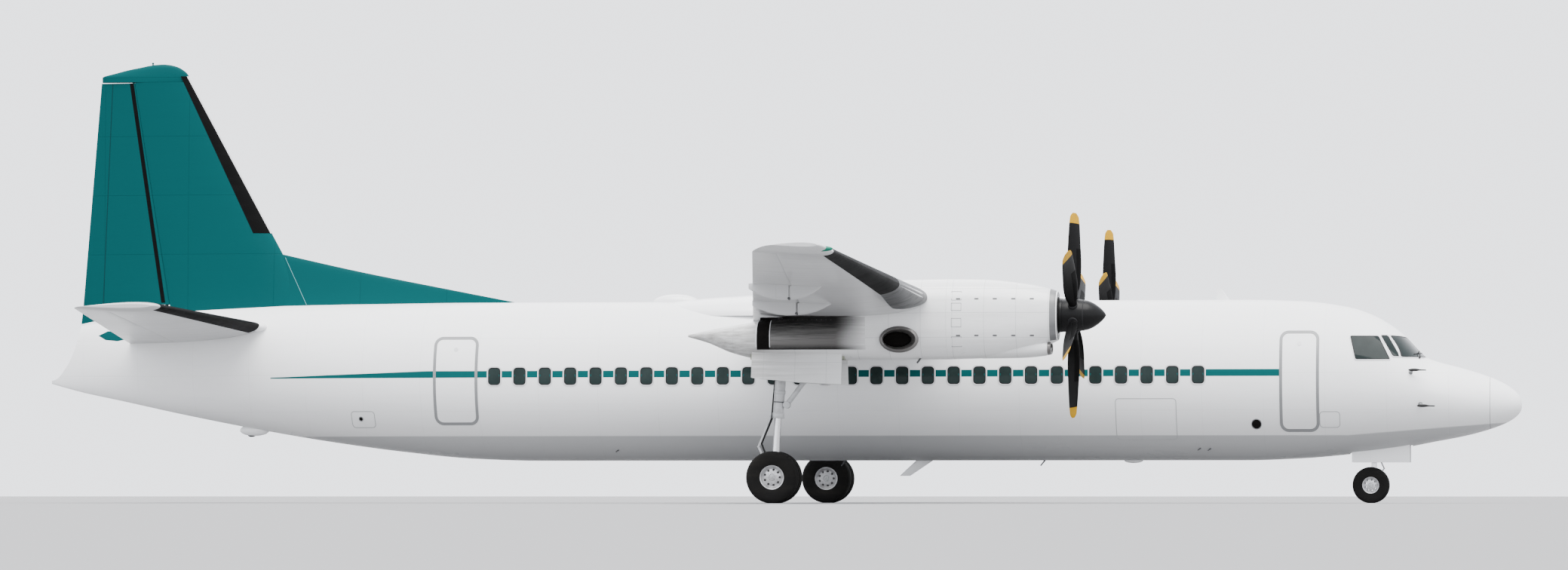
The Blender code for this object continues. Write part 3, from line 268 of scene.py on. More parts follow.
def between(tree, value, low, high, soft=0.006):
    return times(tree, step_up(tree, value, low, soft), rest_of(tree, step_up(tree, value, high, soft)))


def place(tree, scale=(1, 1, 1)):
    """Object coordinates, stretched by a scale."""
    coordinates = tree.nodes.new("ShaderNodeTexCoord")
    if tuple(scale) == (1, 1, 1):
        return coordinates.outputs["Object"]
    mapping = tree.nodes.new("ShaderNodeMapping")
    mapping.inputs["Scale"].default_value = scale
    tree.links.new(coordinates.outputs["Object"], mapping.inputs["Vector"])
    return mapping.outputs["Vector"]


def axes_of(tree, vector):
    node = tree.nodes.new("ShaderNodeSeparateXYZ")
    wire(tree, vector, node.inputs[0])
    return node.outputs


def noise(tree, vector, scale, detail=4.0, roughness=0.55):
    node = tree.nodes.new("ShaderNodeTexNoise")
    wire(tree, vector, node.inputs["Vector"])
    wire(tree, scale, node.inputs["Scale"])
    node.inputs["Detail"].default_value = detail
    node.inputs["Roughness"].default_value = roughness
    return node.outputs["Fac"]


def new_group(name, inputs, outputs):
    """An empty node group with named sockets, as (group, its input sockets, its output sockets)."""
    group = bpy.data.node_groups.new(name, "ShaderNodeTree")
    for label, kind, value in inputs:
        socket = group.interface.new_socket(name=label, in_out="INPUT", socket_type=kind)
        socket.default_value = value
    for label, kind in outputs:
        group.interface.new_socket(name=label, in_out="OUTPUT", socket_type=kind)
    enter = group.nodes.new("NodeGroupInput")
    leave = group.nodes.new("NodeGroupOutput")
    return group, enter.outputs, leave.inputs


def place_group(tree, group, **values):
    """The group as a node in a material, with its inputs set by their names, spaces as underscores."""
    node = tree.nodes.new("ShaderNodeGroup")
    node.node_tree = group
    for label, value in values.items():
        wire(tree, value, node.inputs[label.replace("_", " ")])
    return node.outputs


def make_weathering():
    """Flown paint: cloudy tone, streaks drawn back by the air and specks, over a base colour."""
    group, given, result = new_group(
        "weathering", (("Colour", COLOUR, (1, 1, 1, 1)), ("Grime", COLOUR, (0.3, 0.29, 0.27, 1)),
                       ("Clouds", FLOAT, 0.05), ("Streaks", FLOAT, 0.1), ("Roughness", FLOAT, 0.3)),
        (("Colour", COLOUR), ("Roughness", FLOAT)))
    cloud = noise(group, place(group), 0.8, 5.0)
    streak = noise(group, place(group, (0.35, 5.0, 5.0)), 1.6, 6.0, 0.62)
    speck = noise(group, place(group), 26.0, 2.0)
    streak_mask = step_up(group, streak, 0.62, 0.28)
    amount = times(group, streak_mask, given["Streaks"])
    amount = plus(group, amount, times(group, cloud, given["Clouds"]))
    amount = plus(group, amount,
                  times(group, step_up(group, speck, 0.72, 0.1), times(group, given["Streaks"], 0.5)),
                  clamp=True)
    wire(group, blend_colour(group, amount, given["Colour"], given["Grime"]), result["Colour"])
    rough = plus(group, given["Roughness"], times(group, amount, 0.5))
    rough = plus(group, rough, times(group, minus(group, cloud, 0.5), 0.12), clamp=True)
    wire(group, rough, result["Roughness"])
    return group


def make_seams():
    """Thin skin joints at equal steps along one direction, as a mask."""
    group, given, result = new_group("skin_seams",
                                     (("Along", FLOAT, 0.0), ("Step", FLOAT, 1.0), ("Start", FLOAT, 0.0),
                                      ("Width", FLOAT, 0.006)), (("Mask", FLOAT),))
    share = calc(group, "DIVIDE", minus(group, given["Along"], given["Start"]), given["Step"])
    distance = calc(group, "PINGPONG", share, 0.5)
    distance = times(group, distance, given["Step"])
    line = minus(group, 1.0, calc(group, "DIVIDE", distance, given["Width"]), clamp=True)
    wire(group, line, result["Mask"])
    return group


def make_rivets():
    """Rows of small flush rivet heads in two directions, as a mask."""
    group, given, result = new_group("rivet_rows",
                                     (("Along", FLOAT, 0.0), ("Across", FLOAT, 0.0), ("Row", FLOAT, 0.5),
                                      ("Pitch", FLOAT, 0.05), ("Radius", FLOAT, 0.006)), (("Mask", FLOAT),))
    row = times(group, calc(group, "PINGPONG", calc(group, "DIVIDE", given["Along"], given["Row"]), 0.5),
                given["Row"])
    step = times(group, calc(group, "PINGPONG", calc(group, "DIVIDE", given["Across"], given["Pitch"]), 0.5),
                 given["Pitch"])
    reach = calc(group, "SQRT", plus(group, times(group, row, row), times(group, step, step)))
    wire(group, minus(group, 1.0, calc(group, "DIVIDE", reach, given["Radius"]), clamp=True), result["Mask"])
    return group


def make_grain():
    """Fine surface grain as a height, with a coarser ripple under it."""
    group, given, result = new_group("fine_grain", (("Scale", FLOAT, 80.0), ("Stretch", VECTOR, (1, 1, 1))),
                                     (("Height", FLOAT),))
    mapping = group.nodes.new("ShaderNodeMapping")
    wire(group, place(group), mapping.inputs["Vector"])
    wire(group, given["Stretch"], mapping.inputs["Scale"])
    fine = noise(group, mapping.outputs["Vector"], given["Scale"], 3.0)
    coarse = noise(group, mapping.outputs["Vector"], times(group, given["Scale"], 0.12), 3.0)
    wire(group, plus(group, fine, coarse), result["Height"])
    return group


WEATHERING = make_weathering()
SEAMS = make_seams()
RIVETS = make_rivets()
GRAIN = make_grain()


def start_material(name, **constants):
    """A material with its Principled shader, whose plain sockets take the constants."""
    material = bpy.data.materials.new(name)
    material.use_nodes = True
    tree = material.node_tree
    shader = tree.nodes["Principled BSDF"]
    for label, value in constants.items():
        wire(tree, value, shader.inputs[label.replace("_", " ")])
    return material, tree, shader.inputs


def add_bump(tree, sockets, height, strength, distance):
    bump = tree.nodes.new("ShaderNodeBump")
    bump.inputs["Strength"].default_value = strength
    bump.inputs["Distance"].default_value = distance
    wire(tree, height, bump.inputs["Height"])
    wire(tree, bump.outputs["Normal"], sockets["Normal"])


def painted_skin(name, colour, frame_step, line_step=None, streaks=0.06, clouds=0.04, rough=0.28,
                 line_shade=0.45, seam_start=0.2, along=0, across=2, marks=None, trim=None,
                 grime=(0.36, 0.35, 0.33), coat=0.3, shine=0.5, seam_colour=(0.28, 0.29, 0.30),
                 rivet_colour=(0.35, 0.36, 0.37)):
    """Painted sheet metal: joints at the frames, rows of rivets and a flown finish.

    marks adds colours over the base, and trim over the flown finish. Each takes the tree, the axes and the
    colour, and gives back a colour.
    """
    material, tree, sockets = start_material(
        name, Coat_Weight=coat, Coat_Roughness=0.08, Metallic=0.0, Specular_IOR_Level=shine)
    axes = axes_of(tree, place(tree))
    if marks:
        colour = marks(tree, axes, colour)
    seams = place_group(tree, SEAMS, Along=axes[along], Step=frame_step, Start=seam_start,
                        Width=0.007)["Mask"]
    if line_step:
        other = place_group(tree, SEAMS, Along=axes[across], Step=line_step, Start=0.31, Width=0.006)["Mask"]
        seams = calc(tree, "MAXIMUM", seams, other)
    rivets = place_group(tree, RIVETS, Along=minus(tree, axes[along], seam_start + 0.03), Across=axes[across],
                         Row=frame_step, Pitch=0.05, Radius=0.007)["Mask"]
    flown = place_group(tree, WEATHERING, Colour=colour, Grime=grime, Clouds=clouds, Streaks=streaks,
                        Roughness=rough)
    lined = blend_colour(tree, times(tree, seams, line_shade), flown["Colour"], seam_colour)
    lined = blend_colour(tree, times(tree, rivets, line_shade * 0.5), lined, rivet_colour)
    if trim:
        lined = trim(tree, axes, lined)
    wire(tree, lined, sockets["Base Color"])
    wire(tree, flown["Roughness"], sockets["Roughness"])
    height = plus(tree, times(tree, seams, -1.0), times(tree, rivets, 0.4))
    add_bump(tree, sockets, height, 0.35, 0.004)
    return material


# Shape helpers

def smooth_table(rows):
    """The rows' columns as smooth functions of the first one, without overshoot."""
    xs = [row[0] for row in rows]

    def slopes(values):
        steps = [(b - a) / (q - p) for a, b, p, q in zip(values, values[1:], xs, xs[1:])]
        inner = [0.0 if s * t <= 0 else 2 * s * t / (s + t) for s, t in zip(steps, steps[1:])]
        return [steps[0], *inner, steps[-1]]

    columns = [[row[i] for row in rows] for i in range(1, len(rows[0]))]
    tangents = [slopes(values) for values in columns]

    def at(x):
        k = 0
        while k < len(xs) - 2 and x > xs[k + 1]:
            k += 1
        width = xs[k + 1] - xs[k]
        t = min(1.0, max(0.0, (x - xs[k]) / width))
        a, b = 2 * t ** 3 - 3 * t * t + 1, -2 * t ** 3 + 3 * t * t
        c, d = (t ** 3 - 2 * t * t + t) * width, (t ** 3 - t * t) * width
        return tuple(a * v[k] + b * v[k + 1] + c * m[k] + d * m[k + 1] for v, m in zip(columns, tangents))

    return at


def spread(low, high, count, ease=0.0):
    """Equal steps between two values, drawn towards both ends by ease."""
    found = []
    for i in range(count):
        t = i / (count - 1)
        found.append(low + (high - low) * ((1 - ease) * t + ease * (0.5 - 0.5 * math.cos(math.pi * t))))
    return found


def turns(count, start=0.0):
    """The angles of equal steps round a circle, from a share of a step on."""
    return [2 * math.pi * (i + start) / count for i in range(count)]


def circle(x, z, radius, count):
    return [(x + radius * math.cos(t), z + radius * math.sin(t)) for t in turns(count)]


def skin_between(build, rows):
    """Faces between closed rows of vertices."""
    for near, far in zip(rows, rows[1:]):
        for a, b, c, d in zip(near, near[1:] + near[:1], far[1:] + far[:1], far):
            build.faces.new((a, b, c, d))


def loft(rings, endless=False):
    """A skin through rings of equally many points, with end faces, or endless, back to the first ring."""
    build = bmesh.new()
    rows = [[build.verts.new(point) for point in ring] for ring in rings]
    if endless:
        skin_between(build, rows + rows[:1])
    else:
        skin_between(build, rows)
        build.faces.new(rows[0][::-1])
        build.faces.new(rows[-1])
    bmesh.ops.recalc_face_normals(build, faces=build.faces)
    return build


def box_form(low, high, bevel=0.0, segments=2):
    """A block with rounded edges."""
    build = bmesh.new()
    size = [b - a for a, b in zip(low, high)]
    centre = [(a + b) / 2 for a, b in zip(low, high)]
    bmesh.ops.create_cube(build, size=1.0, matrix=Matrix.Translation(centre) @ Matrix.Diagonal((*size, 1)))
    if bevel:
        bmesh.ops.bevel(build, geom=build.edges[:], offset=bevel, segments=segments, profile=0.5,
                        affect="EDGES")
    return build


def rod_form(start, end, radius, end_radius=None, facets=20, bevel=0.0):
    """A round bar or cone between two points."""
    start, end = Vector(start), Vector(end)
    turn = (end - start).to_track_quat("Z", "X").to_matrix().to_4x4()
    build = bmesh.new()
    bmesh.ops.create_cone(build, cap_ends=True, segments=facets, radius1=radius, radius2=radius
                          if end_radius is None else end_radius, depth=(end - start).length,
                          matrix=Matrix.Translation((start + end) / 2) @ turn)
    if bevel:
        rims = [edge for edge in build.edges if any(len(face.verts) > 4 for face in edge.link_faces)]
        bmesh.ops.bevel(build, geom=rims, offset=bevel, segments=2, profile=0.5, affect="EDGES")
    return build


def cross_bar(x, y, z, reach, radius, facets, bevel=0.0):
    """A bar across the aircraft, about a point, that reaches as far to port as to starboard."""
    return rod_form((x, y - reach, z), (x, y + reach, z), radius, facets=facets, bevel=bevel)


def turned_form(profile, centre, axis, facets=64):
    """A closed outline of radius and distance along the axis, turned about the axis through a centre."""
    build = bmesh.new()
    centre = Vector(centre)
    rows = []
    for turn in turns(facets, 0.5):
        c, s = math.cos(turn), math.sin(turn)
        row = []
        for radius, along in profile:
            offset = (along, radius * c, radius * s) if axis == "X" else (radius * s, along, radius * c)
            row.append(build.verts.new(centre + Vector(offset)))
        rows.append(row)
    for near, far in zip(rows, rows[1:] + rows[:1]):
        for i in range(len(profile) - 1):
            build.faces.new((near[i], near[i + 1], far[i + 1], far[i]))
        if profile[0][0] > 0:
            build.faces.new((near[-1], near[0], far[0], far[-1]))
    bmesh.ops.remove_doubles(build, verts=build.verts, dist=0.00001)
    bmesh.ops.dissolve_degenerate(build, edges=build.edges, dist=0.00001)
    bmesh.ops.recalc_face_normals(build, faces=build.faces)
    return build


def sphere_form(centre, size, facets=24):
    """A ball or an egg, as three half sizes."""
    build = bmesh.new()
    bmesh.ops.create_uvsphere(build, u_segments=facets, v_segments=facets // 2, radius=1.0,
                              matrix=Matrix.Translation(centre) @ Matrix.Diagonal((*size, 1)))
    return build


def merge(*builds):
    """Several forms as one bmesh."""
    whole = bmesh.new()
    for build in builds:
        mesh = bpy.data.meshes.new("part")
        build.to_mesh(mesh)
        build.free()
        whole.from_mesh(mesh)
        bpy.data.meshes.remove(mesh)
    return whole


def scratch(build):
    """A form as an object of its own, not yet a piece of the airliner."""
    mesh = bpy.data.meshes.new("form")
    build.to_mesh(mesh)
    build.free()
    obj = bpy.data.objects.new("form", mesh)
    bpy.context.scene.collection.objects.link(obj)
    return obj


def carve(target, tools, operation="DIFFERENCE"):
    """The object target with each tool cut away, shared or added, and the tools removed."""
    for tool in tools:
        modifier = target.modifiers.new("shape", "BOOLEAN")
        modifier.operation = operation
        modifier.solver = "EXACT"
        modifier.object = tool
        graph = bpy.context.evaluated_depsgraph_get()
        mesh = bpy.data.meshes.new_from_object(target.evaluated_get(graph))
        target.modifiers.clear()
        target.data = mesh
        bpy.data.objects.remove(tool, do_unlink=True)
    return target


def prism(outline, near, far):
    """An outline of x and height above the belly, drawn out from one y to another."""
    return scratch(loft([[(x, y, up(z)) for x, z in outline] for y in (near, far)]))


def finish_piece(obj, name, paint, body="airframe", slot=None, stands_for=(), sharp=32):
    """Names a shape, gives it its finish and body, and hides the plain solids it stands for."""
    obj.name = name
    obj.data.name = name
    obj.data.materials.clear()
    obj.data.materials.append(paint)
    for polygon in obj.data.polygons:
        polygon.material_index = 0
    obj.data.shade_smooth()
    obj.data.set_sharp_from_angle(angle=math.radians(sharp))
    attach(obj, body)
    slot or SLOT_OF[paint.name]
    if stands_for:
        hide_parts(*stands_for)
    return obj


def piece(name, forms, paint, **more):
    """A piece from one form, or from a list of forms that become one."""
    whole = merge(*forms) if isinstance(forms, list) else forms
    return finish_piece(scratch(whole), name, paint, **more)


# Fuselage

fuselage_at = smooth_table(FUSELAGE_SECTIONS)


def fuselage_point(x, turn, lift=0.0):
    """A point of the skin at a turn round the section, counted from port, with a lift along its normal."""
    top, bottom, half, widest = fuselage_at(x)
    rise = math.sin(turn)
    reach = top - widest if rise > 0 else widest - bottom
    point = Vector((x, half * math.cos(turn), up(widest + reach * rise)))
    if not lift:
        return point
    ahead = fuselage_at(x + 0.01)
    behind = fuselage_at(x - 0.01)
    slope = [(a - b) / 0.02 for a, b in zip(ahead, behind)]
    reach_slope = slope[0] - slope[3] if rise > 0 else slope[3] - slope[1]
    along = Vector((1, slope[2] * math.cos(turn), slope[3] + reach_slope * rise))
    around = Vector((0, -half * math.sin(turn), reach * math.cos(turn)))
    return point + along.cross(around).normalized() * -lift


def on_fuselage(x, height, side, lift=0.0):
    """A point of the skin at a height above the belly, on one side."""
    top, bottom, half, widest = fuselage_at(x)
    reach = top - widest if height > widest else widest - bottom
    rise = max(-0.999, min(0.999, (height - widest) / reach))
    turn = math.asin(rise)
    return fuselage_point(x, turn if side > 0 else math.pi - turn, lift)


def fuselage_form(stations, lift=0.0, points=72):
    """The fuselage through some stations as a closed form."""
    return loft([[fuselage_point(x, turn, lift) for turn in turns(points)] for x in stations])


def rounded_outline(low_x, high_x, low_z, high_z, radius, steps=6):
    """A rectangle with rounded corners, as x and height."""
    points = []
    for cx, cz, start in ((high_x - radius, high_z - radius, 0), (low_x + radius, high_z - radius, 90),
                          (low_x + radius, low_z + radius, 180), (high_x - radius, low_z + radius, 270)):
        for i in range(steps + 1):
            turn = math.radians(start + 90 * i / steps)
            points.append((cx + radius * math.cos(turn), cz + radius * math.sin(turn)))
    return points


def dense(outline, step):
    """The outline with points added so that no side is longer than step."""
    points = []
    for (ax, az), (bx, bz) in zip(outline, outline[1:] + outline[:1]):
        count = max(1, math.ceil(math.hypot(bx - ax, bz - az) / step))
        points += [(ax + (bx - ax) * i / count, az + (bz - az) * i / count) for i in range(count)]
    return points


def grown(outline, distance):
    """A closed outline moved out by a distance, or in where it is negative."""
    area = sum(ax * bz - bx * az for (ax, az), (bx, bz) in zip(outline, outline[1:] + outline[:1]))
    sign = 1 if area > 0 else -1
    points = []
    count = len(outline)
    for i, (x, z) in enumerate(outline):
        before, after = outline[i - 1], outline[(i + 1) % count]
        first = Vector((x - before[0], z - before[1]))
        second = Vector((after[0] - x, after[1] - z))
        if first.length < 1e-6 or second.length < 1e-6:
            first = second = first if second.length < 1e-6 else second
        n1 = Vector((first.y, -first.x)).normalized() * sign
        n2 = Vector((second.y, -second.x)).normalized() * sign
        normal = (n1 + n2).normalized()
        reach = distance / max(0.5, normal.dot(n1))
        points.append((x + normal.x * reach, z + normal.y * reach))
    return points


def skin_patch(outline, side, lift, depth, layers=4, place_on=None):
    """A plate that follows the skin inside an outline, with edges that go down by depth."""
    put = place_on or on_fuselage
    build = bmesh.new()
    cx = sum(x for x, _ in outline) / len(outline)
    cz = sum(z for _, z in outline) / len(outline)
    rows = [[build.verts.new(put(x, z, side, lift - depth)) for x, z in outline]]
    for k in range(layers):
        share = 1 - k / layers
        rows.append([build.verts.new(put(cx + (x - cx) * share, cz + (z - cz) * share, side, lift))
                     for x, z in outline])
    skin_between(build, rows)
    middle = build.verts.new(put(cx, cz, side, lift))
    for a, b in zip(rows[-1], rows[-1][1:] + rows[-1][:1]):
        build.faces.new((a, b, middle))
    build.faces.new(rows[0][::-1])
    bmesh.ops.recalc_face_normals(build, faces=build.faces)
    return build


def skin_frame(outline, side, width_in, width_out, height, depth=0.01, place_on=None):
    """A raised rim along an outline on the skin."""
    put = place_on or on_fuselage
    soft = min(0.3 * height, 0.25 * (width_in + width_out))
    section = ((width_out, -depth), (width_out, height - soft), (width_out - soft, height),
               (soft - width_in, height), (-width_in, height - soft), (-width_in, -depth))
    return loft(
        [[put(x, z, side, lift) for x, z in grown(outline, across)] for across, lift in section], True)


# Finishes

def fuselage_marks(tree, axes, colour):
    """The low side darkened by painted shade together with soil, and the greyer belly."""
    x, _, z = axes
    edge, rise_start, rise = BELLY_SHADE
    nose_part = calc(tree, "MAXIMUM", minus(tree, x, rise_start), 0.0)
    edge_z = plus(tree, times(tree, nose_part, rise), up(edge))
    belly = rest_of(tree, step_up(tree, z, edge_z, 0.02))
    # painted shade, with soil: the paint greys towards the low side
    shaded_low_side = rest_of(tree, step_up(tree, z, (up(SHADE_AND_SOIL_TOP) + up(edge)) / 2, SHADE_AND_SOIL_TOP - edge))
    colour = blend_colour(tree, times(tree, shaded_low_side, 0.55), colour, grey(0.50))
    return blend_colour(tree, belly, colour, (0.37, 0.375, 0.38))


def fuselage_stripe(tree, axes, colour):
    """The stripe with its pale edge lines, which thins to a point at the rear."""
    tip, full, front, low, high = STRIPE
    x, _, z = axes
    share = step_up(tree, x, (tip + full) / 2, full - tip)
    top = plus(tree, up(low) + 0.016, times(tree, share, high - low - 0.016))
    reach = between(tree, x, tip, front, 0.01)

    def band(lower, grow):
        above = step_up(tree, z, lower - grow, 0.004)
        below = rest_of(tree, step_up(tree, z, plus(tree, top, grow), 0.004))
        return times(tree, reach, times(tree, above, below))

    colour = blend_colour(tree, times(tree, band(up(low), 0.014), 0.6), colour, (0.62, 0.66, 0.67))
    return blend_colour(tree, band(up(low), 0.0), colour, (0.0, 0.069, 0.071))


def nacelle_marks(tree, axes, colour):
    """Soot over the tail cone and above the heat panel."""
    x, _, z = axes
    streak = noise(tree, place(tree, (0.4, 4.0, 9.0)), 2.4, 6.0, 0.65)
    behind = rest_of(tree, step_up(tree, x, 0.9, 1.7))
    film = plus(tree, 0.50, times(tree, step_up(tree, streak, 0.52, 0.3), 0.5))
    colour = blend_colour(tree, times(tree, behind, film), colour, (0.24, 0.235, 0.225))
    near = between(tree, plus(tree, x, times(tree, streak, 0.3)), 0.32, 2.0, 0.25)
    above = between(tree, plus(tree, z, times(tree, streak, 0.05)), up(2.31), up(2.43), 0.06)
    return blend_colour(tree, times(tree, near, above), colour, (0.012, 0.011, 0.010))


def blade_marks(tree, axes, colour):
    """Yellow tips, from the distance to the hub."""
    _, y, z = axes
    aside = minus(tree, calc(tree, "ABSOLUTE", y), ENGINE_Y)
    high = minus(tree, z, HUB_Z)
    reach = calc(tree, "SQRT", plus(tree, times(tree, aside, aside), times(tree, high, high)))
    tip = step_up(tree, reach, PROP_RADIUS - 0.17, 0.008)
    return blend_colour(tree, tip, colour, (0.46, 0.25, 0.004))


def plain_finish(name, colour, rough, metallic=0.0, grain=60.0, depth=0.0006, stretch=(1, 1, 1),
                 grime=grey(0.05), streaks=0.12, clouds=0.1, coat=0.0, marks=None, shine=0.5):
    """A worn finish with a fine grain."""
    material, tree, sockets = start_material(
        name, Metallic=metallic, Coat_Weight=coat, Specular_IOR_Level=shine)
    if marks:
        colour = marks(tree, axes_of(tree, place(tree)), colour)
    worn = place_group(tree, WEATHERING, Colour=colour, Grime=grime, Clouds=clouds, Streaks=streaks,
                       Roughness=rough)
    wire(tree, worn["Colour"], sockets["Base Color"])
    wire(tree, worn["Roughness"], sockets["Roughness"])
    texture = place_group(tree, GRAIN, Scale=grain, Stretch=stretch)
    add_bump(tree, sockets, texture["Height"], 0.3, depth)
    return material


def make_glass(name, colour, rough=0.06):
    """Dark glazing seen from outside, with a faint tone that drifts across it."""
    material, tree, sockets = start_material(name, IOR=1.18)
    cloud = noise(tree, place(tree), 3.0, 3.0)
    tone = blend_colour(tree, cloud, colour, tuple(min(1.0, c * 2.1 + 0.01) for c in colour))
    wire(tree, tone, sockets["Base Color"])
    wire(tree, plus(tree, rough, times(tree, cloud, 0.06)), sockets["Roughness"])
    return material


def sooty_metal(name):
    """Brushed steel beside the exhaust, black above and behind, that fades into paint at the front."""
    material, tree, sockets = start_material(name, Specular_IOR_Level=0.3)
    x, _, z = axes_of(tree, place(tree))
    streak = noise(tree, place(tree, (0.5, 6.0, 16.0)), 2.2, 6.0, 0.7)
    rough_edge = times(tree, minus(tree, streak, 0.5), 0.16)
    top = step_up(tree, plus(tree, z, rough_edge), up(2.08), 0.30)
    foot = rest_of(tree, step_up(tree, z, up(1.855), 0.07))
    soot = calc(tree, "MAXIMUM", top, times(tree, foot, 0.85))
    soot = plus(tree, soot, times(tree, minus(tree, streak, 0.50), 1.0), clamp=True)
    front = step_up(tree, plus(tree, x, times(tree, rough_edge, 2.5)), 1.80, 0.5)
    soot = times(tree, soot, rest_of(tree, front))
    steel = blend_colour(tree, front, (0.13, 0.126, 0.122), grey(0.70))
    tone = blend_colour(tree, soot, steel, (0.003, 0.0027, 0.0025))
    wire(tree, tone, sockets["Base Color"])
    bare = rest_of(tree, calc(tree, "MAXIMUM", front, soot))
    wire(tree, times(tree, bare, 0.45), sockets["Metallic"])
    wire(tree, plus(tree, 0.34, times(tree, soot, 0.4)), sockets["Roughness"])
    brushed = place_group(tree, GRAIN, Scale=90.0, Stretch=(0.06, 1.0, 1.0))
    add_bump(tree, sockets, brushed["Height"], 0.3, 0.001)
    return material


WHITE = (0.83, 0.835, 0.84)
TEAL = (0.0, 0.052, 0.055)
PAINT_FUSELAGE = painted_skin("fuselage_paint", WHITE, 1.02, 0.62, marks=fuselage_marks, trim=fuselage_stripe,
                              line_shade=0.10, streaks=0.05, coat=0.0, shine=0.06)
PAINT_NACELLE = painted_skin("nacelle_paint", (0.78, 0.785, 0.785), 0.52, 0.40, line_shade=0.50, streaks=0.20,
                             marks=nacelle_marks, clouds=0.10, seam_start=0.33)
PAINT_WHITE = painted_skin("white_paint", WHITE, 0.9, None, line_shade=0.12, streaks=0.08)
PAINT_WING = painted_skin("wing_paint", (0.46, 0.465, 0.47), 1.15, 0.9, line_shade=0.4, streaks=0.22,
                          clouds=0.12, along=1, across=0)
PAINT_TAIL = painted_skin("tailplane_paint", (0.42, 0.425, 0.43), 0.85, 0.7, line_shade=0.3, streaks=0.18,
                          clouds=0.10, along=1, across=0)
PAINT_TEAL = painted_skin("teal_paint", TEAL, 1.02, 1.5, along=2, across=0, line_shade=0.45, streaks=0.05,
                          clouds=0.03, grime=(0.002, 0.03, 0.033), rough=0.4, coat=0.0, shine=0.04,
                          seam_colour=(0.0, 0.024, 0.027), rivet_colour=(0.0, 0.036, 0.04))
PALE_TEAL = plain_finish("pale_teal", (0.09, 0.26, 0.27), 0.4, grime=(0.05, 0.2, 0.21))
SEAM_TEAL = plain_finish("teal_seam", (0.0, 0.024, 0.027), 0.5, grime=(0.0, 0.02, 0.02), shine=0.1)
BOOT_RUBBER = plain_finish("de_icing_rubber", (0.0016, 0.0016, 0.0017), 0.55, grain=120.0,
                           grime=(0.014, 0.0135, 0.013), shine=0.04)
PIPE_METAL = plain_finish("pipe_metal", (0.16, 0.155, 0.15), 0.34, 0.7, grain=120.0,
                          grime=(0.03, 0.027, 0.025), streaks=0.3, clouds=0.2)
LIP_METAL = plain_finish("lip_metal", (0.17, 0.172, 0.175), 0.38, 0.4, grain=120.0, grime=grey(0.06))
GLOVE_METAL = plain_finish("dull_metal", (0.075, 0.077, 0.079), 0.42, 0.35, grain=90.0, grime=grey(0.03),
                           streaks=0.3, shine=0.3)
SOOTY_STEEL = sooty_metal("sooty_steel")
# near black: soot in the exhaust's throat and on the heat panel's end, and painted shade inside the chin duct
# and the round outlets
SOOT_AND_SHADE_BLACK = plain_finish(
    "soot_and_shade_black", (0.004, 0.0036, 0.0034), 0.85, grain=80.0, grime=(0.02, 0.017, 0.015), shine=0.05)
WINDOW_GLASS = make_glass("cabin_glass", (0.006, 0.012, 0.0115))
COCKPIT_GLASS = make_glass("cockpit_glass", (0.005, 0.0085, 0.0085), 0.04)
WINDOW_RIM = plain_finish("window_rim", (0.60, 0.60, 0.61), 0.35, 0.1, grime=grey(0.25))
HATCH_GREY = plain_finish("hatch_grey", (0.34, 0.345, 0.35), 0.4, 0.0, grime=grey(0.2))
SEAL_RUBBER = plain_finish("seal_rubber", (0.012, 0.012, 0.013), 0.6, grime=grey(0.03), shine=0.15)
DOOR_RIM = plain_finish("door_rim", (0.19, 0.195, 0.20), 0.45, 0.1, grime=grey(0.09))
BLADE_BLACK = plain_finish("blade_black", (0.0025, 0.0025, 0.0027), 0.45, grain=70.0,
                           grime=(0.016, 0.015, 0.014), marks=blade_marks, shine=0.08)
SPINNER_BLACK = plain_finish("spinner_black", (0.003, 0.003, 0.0032), 0.32, grime=grey(0.014), shine=0.14)
GEAR_PAINT = plain_finish("gear_paint", (0.52, 0.53, 0.54), 0.35, 0.2, coat=0.3, grime=(0.10, 0.085, 0.07),
                          streaks=0.35, clouds=0.18)
CHROME = plain_finish("chrome_piston", (0.75, 0.75, 0.76), 0.08, 1.0, grain=200.0, depth=0.0002)
WHEEL_ALLOY = plain_finish("wheel_alloy", (0.58, 0.58, 0.59), 0.32, 0.7, grime=(0.09, 0.07, 0.05),
                           streaks=0.3)
TYRE_RUBBER = plain_finish("tyre_rubber", (0.0055, 0.0055, 0.0058), 0.75, grain=150.0, depth=0.001,
                           grime=(0.03, 0.0275, 0.0235), clouds=0.25, streaks=0.25, shine=0.08)
HOSE_BLACK = plain_finish("hose_rubber", grey(0.012), 0.55, shine=0.2)
BAY_PRIMER = plain_finish(
    "bay_primer", (0.36, 0.38, 0.30), 0.6, grime=(0.06, 0.055, 0.05), streaks=0.5, clouds=0.3)
ENGINE_METAL = plain_finish("engine_metal", (0.22, 0.215, 0.21), 0.45, 0.8, grime=(0.05, 0.04, 0.03))
STEP_TREAD = plain_finish("step_tread", (0.06, 0.06, 0.065), 0.8, grain=260.0, depth=0.002)
LINING = plain_finish("door_lining", (0.55, 0.54, 0.50), 0.55)
RED_LENS = make_glass("red_lens", (0.16, 0.006, 0.006), 0.1)
GREEN_LENS = make_glass("green_lens", (0.003, 0.075, 0.05), 0.1)
CLEAR_LENS = make_glass("clear_lens", (0.12, 0.135, 0.14), 0.05)

